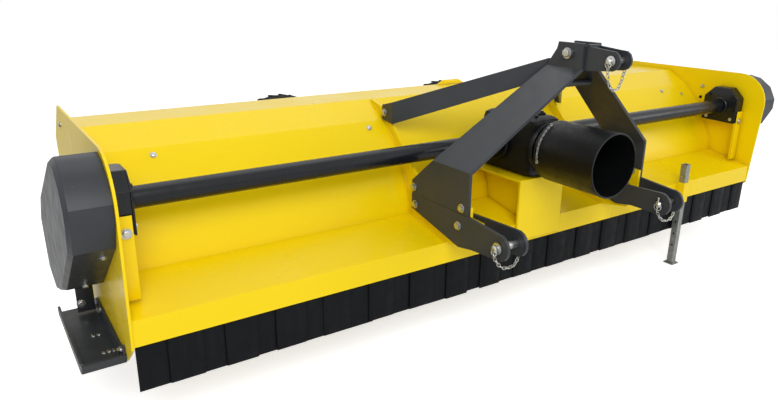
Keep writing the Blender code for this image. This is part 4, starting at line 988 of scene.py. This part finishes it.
@dataclass
class Gearbox:
    """Cast gearbox with caps, bolts and plugs, its input shaft and the shaft's shield."""

    half_x: float = 0.08
    half_z: float = 0.118
    cap_bolts: int = 6
    neck_bolts: int = 8
    splines: int = 6
    shield_r: float = 0.118
    chain_arc: tuple[int, int, int] = (118, 74, 28)

    def build(self) -> None:
        """Build the casting, the shaft and the shield."""
        soften("gearbox_housing", CASTING, 0.004, 3)
        self.caps()
        self.shaft()
        self.shield()

    def caps(self) -> None:
        """Bearing caps, top cover, plugs and their bolts."""
        meshes = []
        places = []
        cross = at(0.0, SHAFT_Y, SHAFT_Z)
        for side in (-1, 1):
            face = side * self.half_x
            profile = sided([(0.073, 0.0), (0.075, 0.004), (0.075, 0.012), (0.071, 0.016), (0.0605, 0.016),
                (0.0605, 0.0)], side, face)
            meshes.append(lathe(f"output_cap_{side}", profile, Axis.X, cross, 48, ring=True))
            for angle in turns(self.cap_bolts, 0.5):
                spot = cross + Vector((face + side * 0.016, 0.0665 * math.cos(angle),
                    0.0665 * math.sin(angle)))
                places.append((spot, X_AXIS * side, 0.0042))
        top = SHAFT_Z + self.half_z
        meshes.append(box_mesh("top_cover", at(-0.048, 0.045, top - 0.002), at(0.048, 0.235, top + 0.007)))
        for x in (-0.039, 0.039):
            for y in (0.058, 0.14, 0.222):
                places.append((at(x, y, top + 0.007), Z_AXIS, 0.0065))
        front = -0.016
        meshes.append(lathe("input_cap", [(0.0785, front + 0.001), (0.098, front + 0.001),
            (0.098, front - 0.01), (0.094, front - 0.014), (0.0785, front - 0.014)], Axis.Y,
            at(0.0, 0.0, SHAFT_Z), 48, ring=True))
        for angle in turns(self.neck_bolts, 0.5):
            spot = at(0.088 * math.cos(angle), front - 0.014, SHAFT_Z + 0.088 * math.sin(angle))
            places.append((spot, -Y_AXIS, 0.0058))
        rear = 0.285
        meshes.append(lathe("rear_cap", [(0.07, rear - 0.004), (0.07, rear + 0.006), (0.062, rear + 0.011),
            (0.02, rear + 0.013)], Axis.Y, at(0.0, 0.0, SHAFT_Z), 40))
        seat("gearbox_caps", joined("gearbox_caps", meshes), CASTING, ROOT)
        bolts("gearbox_bolts", ROOT, places, BLACK)
        plug = [(0.013, 0.0), (0.013, 0.006), (0.009, 0.008), (0.009, 0.02), (0.012, 0.022), (0.012, 0.03),
            (0.006, 0.033)]
        breather = lathe("breather", plug, Axis.Z, at(0.032, 0.1, top + 0.006), 20)
        filler = lathe("filler", plug[:4], Axis.Z, at(-0.03, 0.18, top + 0.006), 6)
        seat("gearbox_plugs", joined("gearbox_plugs", [breather, filler]), ZINC, ROOT)

    def shaft(self) -> None:
        """Splined input shaft: the CAD shaft with six splines standing on it."""
        soften("input_shaft", FORGED, 0.0008)
        places = []
        ways = []
        for angle in turns(self.splines):
            way = Vector((math.cos(angle), 0.0, math.sin(angle)))
            places.append(at(0.0, -0.118, SHAFT_Z) + way * 0.0165)
            ways.append(way)
        seed = seed_points("spline_seed", places, ways, [0.0] * self.splines)
        mesh = LUGS.run("input_shaft_splines", seed, FORGED, {"Size": (0.0085, 0.07, 0.006)})
        seat("input_shaft_splines", mesh, FORGED, "input_shaft")

    def shield(self) -> None:
        """Moulded shield: rolled front rim, rear cone and its stay chain."""
        outer = self.shield_r
        inner = outer - 0.004
        profile = [(0.0795, -0.038), (outer - 0.013, -0.049), (outer - 0.003, -0.061), (outer, -0.072),
            (outer, -0.33), (outer + 0.0012, -0.333), (outer + 0.0012, -0.3375), (outer - 0.0015, -0.3395),
            (inner - 0.001, -0.3385), (inner, -0.332), (inner, -0.074), (inner - 0.004, -0.064),
            (inner - 0.013, -0.054), (0.0795, -0.0432)]
        centre = at(0.0, 0.0, SHAFT_Z)
        seat("pto_shield_shell", lathe("pto_shield", profile, Axis.Y, centre, 96, ring=True), PLASTIC, ROOT,
            ("pto_shield",))
        chain = []
        radius = outer + 0.0045
        first, sweep, steps = self.chain_arc
        for step in range(steps + 1):
            angle = math.radians(first + sweep * step / steps)
            chain.append(centre + Vector((radius * math.cos(angle), -0.084, radius * math.sin(angle))))
        mesh = CHAIN.run("shield_chain", seed_line("shield_chain_line", chain), ZINC,
            {"Pitch": 0.0085, "Wire": 0.0009})
        eyes = [torus(f"shield_eye_{index}", chain[index], 0.0055, 0.0013) for index in (0, -1)]
        seat("shield_chain", joined("shield_chain", [mesh, *eyes]), ZINC, ROOT)


@dataclass
class DriveLine:
    """Cover tubes, bearing housings, cross shafts, belts, pulleys, guards and the rotor."""

    guard_bolt: float = 0.0085

    def build(self) -> None:
        """Build both sides, then the rotor and its hammers."""
        for label, side in SIDES:
            self.tube(label, side)
            soften(f"shaft_bearing_{label}", BLACK, 0.003)
            self.bearing_bracket(label, side)
            soften(f"cross_shaft_{label}", FORGED, 0.001)
            soften(f"drive_belt_{label}", CURTAIN_RUBBER, 0.0008)
            soften(f"rotor_pulley_{label}", FORGED, 0.001)
            soften(f"rotor_bearing_{label}", CASTING, 0.003)
            self.guard(label, side)
        soften("rotor", FORGED, 0.0012)
        for index in range(1, 13):
            soften(f"hammer_{index:02d}", FORGED, 0.0012)

    def tube(self, label: str, side: int) -> None:
        """Drawn cover tube with a collar at the gearbox."""
        low = 0.1103
        high = 1.5477
        profile = [(0.0282, low), (0.034, low), (0.034, high), (0.0282, high)]
        profile = sided(profile, side)
        centre = at(0.0, SHAFT_Y, SHAFT_Z)
        seat(f"shaft_tube_{label}_wall", lathe(f"shaft_tube_{label}", profile, Axis.X, centre, 64,
            ring=True), BLACK, ROOT, (f"shaft_tube_{label}",))
        collar = [(0.0342, 0.113), (0.043, 0.113), (0.045, 0.115), (0.045, 0.128), (0.042, 0.131),
            (0.0342, 0.131)]
        collar = sided(collar, side)
        seat(f"tube_collar_{label}", lathe(f"tube_collar_{label}", collar, Axis.X, centre, 48, ring=True),
            BLACK, ROOT)

    def bearing_bracket(self, label: str, side: int) -> None:
        """Black plate and ring on the inner face of the bearing housing, its bolts and the jack bolt."""
        low, high = sorted((side * 1.529, side * 1.5358))
        outline = [(0.089, 0.632), (0.271, 0.637), (0.271, 0.764), (0.222, 0.813), (0.138, 0.813),
            (0.089, 0.764)]
        seat(f"bearing_plate_{label}", slab(f"bearing_plate_{label}", outline, low, high), BLACK, ROOT)
        face = side * 1.529
        places = [(at(side * 1.561, 0.0788, 0.646), -Y_AXIS, 0.012)]
        for y, z in ((0.11, 0.653), (0.245, 0.653)):
            places.append((at(face, y, z), -X_AXIS * side, 0.007))
        bolts(f"bearing_bolts_{label}", ROOT, places)
        caps = [(at(face, y, 0.772), -X_AXIS * side, 0.007) for y in (0.116, 0.244)]
        bolts(f"bearing_caps_{label}", ROOT, caps, BLACK)
        near, far = sorted((side * 1.541, side * 1.59))
        front = box_mesh(f"console_front_{label}", at(near, 0.079, 0.438), at(far, 0.0827, 0.697), 0.001)
        seat(f"console_front_{label}", front, YELLOW, ROOT)
        centre = at(0.0, SHAFT_Y, SHAFT_Z)
        ring = sided([(0.0346, 0.0), (0.043, 0.0), (0.045, 0.003), (0.045, 0.008), (0.042, 0.011),
            (0.0346, 0.011)], -side, face)
        seat(f"bearing_ring_{label}", lathe(f"bearing_ring_{label}", ring, Axis.X, centre, 40, ring=True),
            BLACK, ROOT)

    def guard(self, label: str, side: int) -> None:
        """Belt guard with its fixing bolts and the strap that holds its foot."""
        soften(f"belt_guard_{label}", CHARCOAL, 0.004, 3)
        places = []
        under = Vector((0.0, -0.597, -0.802))
        for x, y, z in ((1.628, 0.087, 0.586), (1.655, 0.3224, 0.4106)):
            places.append((at(side * x, y, z), under, self.guard_bolt))
        places.append((at(side * 1.656, 0.505, 0.27), -Y_AXIS, 0.011))
        bolts(f"guard_bolts_{label}", ROOT, places)
        near, far = sorted((side * 1.612, side * 1.668))
        strap = box_mesh(f"guard_strap_{label}", at(near, 0.505, 0.236), at(far, 0.513, 0.327), 0.0015)
        seat(f"guard_strap_{label}", strap, CHARCOAL, ROOT)


@dataclass
class Curtain:
    """Rubber strips on their rod, one length on each side of the machine's middle."""

    spans: tuple[tuple[str, float, float], ...] = (("left", -1.5795, -0.0095), ("right", 0.0095, 1.5795))
    strip: float = 0.088
    thickness: float = 0.0034
    overlap: float = 0.004
    wander: float = 0.0045
    top_z: float = 0.3905
    bottom_z: float = 0.172
    rod_y: float = 0.0125

    def build(self) -> None:
        """Hang both lengths below the rod."""
        soften("flap_rod", ZINC, 0.0006)
        for label, low, high in self.spans:
            self.length(label, low, high)

    def length(self, label: str, low: float, high: float) -> None:
        """Hang one length: strips that overlap their neighbours like fish scales."""
        count = round((high - low) / self.strip)
        pitch = (high - low) / count
        places = []
        for index in range(count):
            depth = self.rod_y + (-self.overlap if index % 2 else self.overlap) / 2
            shift = self.wander * math.sin(index * 2.4) if 0 < index < count - 1 else 0.0
            places.append(at(low + (index + 0.5) * pitch + shift, depth, self.top_z))
        seed = seed_points(f"curtain_{label}_seed", places, [Z_AXIS] * count, [1.0] * count)
        mesh = STRIPS.run(f"curtain_{label}_strips", seed, CURTAIN_RUBBER,
            {"Width": pitch + self.wander * 4, "Drop": self.top_z - self.bottom_z,
            "Thickness": self.thickness, "Lean": 0.005, "Seed": 11})
        body = f"curtain_{label}"
        seat(f"{body}_strips", eased(mesh, 0.0004, 1), CURTAIN_RUBBER, body, (body,))


@dataclass
class GroundGear:
    """Skids, parking stand, rear roller and transport wheels."""

    lugs: int = 30
    wheel_r: float = 0.26
    wheel_w: float = 0.15
    rim_r: float = 0.15
    flange_bolts: int = 4
    wheel_nuts: int = 5

    def build(self) -> None:
        """Build what meets the ground."""
        for label, side in SIDES:
            self.skid(label, side)
            self.roller_bearing(label, side)
        self.stand()
        soften("rear_roller", CHARCOAL, 0.004, 3)
        for index in (1, 2):
            soften(f"wheel_pivot_{index}", CHARCOAL, 0.0015)
            soften(f"wheel_arm_{index}", CHARCOAL, 0.003)
            self.pivot_bolts(index)
            self.wheel(index)

    def skid(self, label: str, side: int) -> None:
        """Skid shoe with the bolts that hold it."""
        soften(f"skid_{label}", CHARCOAL, 0.002)
        places = []
        for y in (0.13, 0.44):
            places.append((at(side * 1.6083, y, 0.262), X_AXIS * side, 0.0115))
        for y, spread in ((0.2, (1.617, 1.631, 1.646)), (0.325, (1.637, 1.654))):
            for x in spread:
                places.append((at(side * x, y, 0.2298), Z_AXIS, 0.0058))
        bolts(f"skid_bolts_{label}", ROOT, places)

    def roller_bearing(self, label: str, side: int) -> None:
        """Flanged bearing of the roller on the side plate's inner face."""
        face = side * PLATE_INNER_X
        centre = at(0.0, 0.865, 0.0843)
        profile = sided([(0.0215, 0.0), (0.036, 0.0), (0.036, 0.006), (0.03, 0.018), (0.0215, 0.018)], -side,
            face)
        seat(f"roller_bearing_{label}", lathe(f"roller_bearing_{label}", profile, Axis.X, centre, 32,
            ring=True), CASTING, ROOT)

    def stand(self) -> None:
        """Galvanised stand and the spring pin through its upper hole."""
        soften("parking_stand", GALVANISED, 0.0018)
        pin = [(0.0054, -0.02), (0.0054, 0.018), (0.004, 0.021)]
        seat("stand_pin", lathe("stand_pin", pin, Axis.X, at(0.975, -0.018, 0.455), 16), ZINC,
            "parking_stand")

    def pivot_bolts(self, index: int) -> None:
        """Four bolts through the flange of a wheel's pivot."""
        pos = JOINTS[f"wheel_arm_swing_{index}"]["pos_m"]
        places = []
        for angle in turns(self.flange_bolts, 0.5):
            spot = Vector((pos[0] + 0.052 * math.cos(angle), LIP_Y + 0.7503,
                pos[2] + 0.052 * math.sin(angle)))
            places.append((spot, Y_AXIS, 0.0085))
        bolts(f"pivot_bolts_{index}", ROOT, places)

    def wheel(self, index: int) -> None:
        """Transport wheel: lugged tyre, pressed rim with its nuts, and a hub."""
        centre = Vector(JOINTS[f"wheel_spin_{index}"]["pos_m"])
        body = f"transport_wheel_{index}"
        radius = self.wheel_r - 0.004
        half = self.wheel_w / 2
        tyre = mirrored([(self.rim_r, -half + 0.012), (self.rim_r + 0.016, -half + 0.004),
            (radius * 0.8, -half + 0.001), (radius * 0.92, -half + 0.006), (radius * 0.975, -half + 0.018),
            (radius, -half + 0.034)], [(radius + 0.002, 0.0)])
        casing = lathe(f"{body}_casing", tyre, Axis.Y, centre, 96, ring=True)
        places = []
        ways = []
        signs = []
        for step, angle in enumerate(turns(self.lugs * 2)):
            way = Vector((math.cos(angle), 0.0, math.sin(angle)))
            side = -1 if step % 2 else 1
            places.append(centre + way * (radius + 0.001) + Y_AXIS * side * 0.026)
            ways.append(way)
            signs.append(float(side))
        seed = seed_points(f"{body}_seed", places, ways, signs)
        lugs = LUGS.run(f"{body}_lugs", seed, TYRE_RUBBER, {"Size": (0.013, 0.06, 0.005), "Twist": 0.45})
        seat(f"{body}_tyre", joined(f"{body}_tyre", [casing, lugs]), TYRE_RUBBER, body, (body,))
        rim = [(self.rim_r + 0.001, -half + 0.012), (self.rim_r + 0.008, -half + 0.006),
            (self.rim_r - 0.006, -half + 0.01), (self.rim_r - 0.012, -0.02), (self.rim_r - 0.03, -0.012),
            (0.07, -0.022), (0.062, -0.03), (0.0212, -0.03), (0.0212, -0.024), (0.06, -0.022),
            (0.07, -0.014), (self.rim_r - 0.03, -0.004), (self.rim_r - 0.008, 0.004),
            (self.rim_r - 0.004, half - 0.014), (self.rim_r + 0.008, half - 0.006),
            (self.rim_r + 0.001, half - 0.012)]
        hub = mirrored([(0.0212, -half + 0.031), (0.044, -half + 0.031), (0.047, -half + 0.034)])
        parts = [lathe(f"{body}_rim", rim, Axis.Y, centre, 64, ring=True),
            lathe(f"{body}_hub", hub, Axis.Y, centre, 40, ring=True)]
        seat(f"{body}_rim", joined(f"{body}_rim", parts), CHARCOAL, body)
        nuts = []
        for angle in turns(self.wheel_nuts):
            nuts.append((centre + Vector((0.057 * math.cos(angle), -0.012, 0.057 * math.sin(angle))), Y_AXIS,
                0.0095))
        bolts(f"{body}_nuts", body, nuts)


@dataclass
class Studio:
    """Pale floor and backdrop, soft lamps and the camera at the photograph's angle."""

    width_px: float = 778.0
    focal_px: float = 651.19
    eye: tuple[float, float, float] = (-1.895, -1.746, 1.317)
    yaw: float = 0.589
    pitch: float = -0.319
    roll: float = 0.011
    sensor_mm: float = 36.0
    floor_glow: float = 0.62
    floor_z: float = -0.0015

    def build(self) -> None:
        """Build the floor, the lamps, the sky and the camera."""
        self.floor()
        self.sky()
        self.lamps()
        self.camera()

    def floor(self) -> None:
        """Lay a large pale floor that also shows as white to the camera and in reflections."""
        reach = 14.0
        signs = ((-1, -1), (1, -1), (1, 1), (-1, 1))
        corners = [Vector((reach * x, reach * y, self.floor_z)) for x, y in signs]
        mesh = mesh_of("floor", corners, [(0, 1, 2, 3)])
        material = bpy.data.materials.new("pale_floor")
        material.use_nodes = True
        tree = material.node_tree
        shader = tree.nodes["Principled BSDF"]
        shader.inputs["Base Color"].default_value = linear("F4F4F4")
        shader.inputs["Roughness"].default_value = 0.85
        shader.inputs["Specular IOR Level"].default_value = 0.1
        shader.inputs["Emission Color"].default_value = (1.0, 1.0, 1.0, 1.0)
        path = add_node(tree, "ShaderNodeLightPath")
        shown = add_node(tree, "ShaderNodeMath", {0: path.outputs["Is Camera Ray"], 1: self.floor_glow},
            operation="MULTIPLY")
        tree.links.new(shown.outputs[0], shader.inputs["Emission Strength"])
        mesh.materials.append(material)
        floor = bpy.data.objects.new("floor", mesh)
        bpy.context.scene.collection.objects.link(floor)

    def sky(self) -> None:
        """White sky for the camera and for reflections, softer as a light."""
        world = bpy.data.worlds.new("studio")
        world.use_nodes = True
        tree = world.node_tree
        background = tree.nodes["Background"]
        background.inputs["Color"].default_value = (1.0, 1.0, 1.0, 1.0)
        path = add_node(tree, "ShaderNodeLightPath")
        seen = add_node(tree, "ShaderNodeMath", {0: path.outputs["Is Camera Ray"],
            1: path.outputs["Is Glossy Ray"]}, operation="MAXIMUM")
        power = add_node(tree, "ShaderNodeMapRange", {"Value": seen.outputs[0], "To Min": 0.5,
            "To Max": 1.0})
        tree.links.new(power.outputs["Result"], background.inputs["Strength"])
        bpy.context.scene.world = world

    def lamps(self) -> None:
        """Large soft lamps: a key over the left shoulder, a fill from the right and one from above."""
        for name, place, size, power in (("key", (-2.4, -4.0, 3.8), 3.2, 150.0),
                ("fill", (4.0, -3.4, 2.2), 3.0, 50.0), ("top", (0.4, 1.2, 5.0), 4.0, 36.0)):
            light = bpy.data.lights.new(name, "AREA")
            light.shape = "DISK"
            light.size = size
            light.energy = power
            lamp = bpy.data.objects.new(name, light)
            lamp.location = place
            lamp.rotation_euler = (Vector((0.0, 0.0, 0.5)) - Vector(place)).to_track_quat("-Z",
                "Y").to_euler()
            bpy.context.scene.collection.objects.link(lamp)

    def camera(self) -> None:
        """Stand the camera where the photograph was taken from."""
        ahead = Vector((math.sin(self.yaw) * math.cos(self.pitch), math.cos(self.yaw) * math.cos(self.pitch),
            math.sin(self.pitch)))
        level = Vector((math.cos(self.yaw), -math.sin(self.yaw), 0.0))
        upright = level.cross(ahead)
        right = level * math.cos(self.roll) + upright * math.sin(self.roll)
        up = upright * math.cos(self.roll) - level * math.sin(self.roll)
        data = bpy.data.cameras.new("photo_camera")
        data.sensor_width = self.sensor_mm
        data.lens = self.focal_px / self.width_px * self.sensor_mm
        data.clip_end = 60.0
        camera = bpy.data.objects.new("photo_camera", data)
        place = Matrix((right, up, -ahead)).transposed().to_4x4()
        place.translation = at(*self.eye)
        camera.matrix_world = place
        bpy.context.scene.collection.objects.link(camera)
        bpy.context.scene.camera = camera
        bpy.context.scene.view_settings.view_transform = "Standard"


def main() -> None:
    """Build the studio and every sub-assembly in order."""
    logging.basicConfig(level=logging.INFO, format="%(name)s %(message)s")
    for part in (Studio(), Hood(), Mast(), Gearbox(), DriveLine(), Curtain(), GroundGear()):
        log.info("building %s", type(part).__name__)
        part.build()


if __name__ == "__main__":
    main()
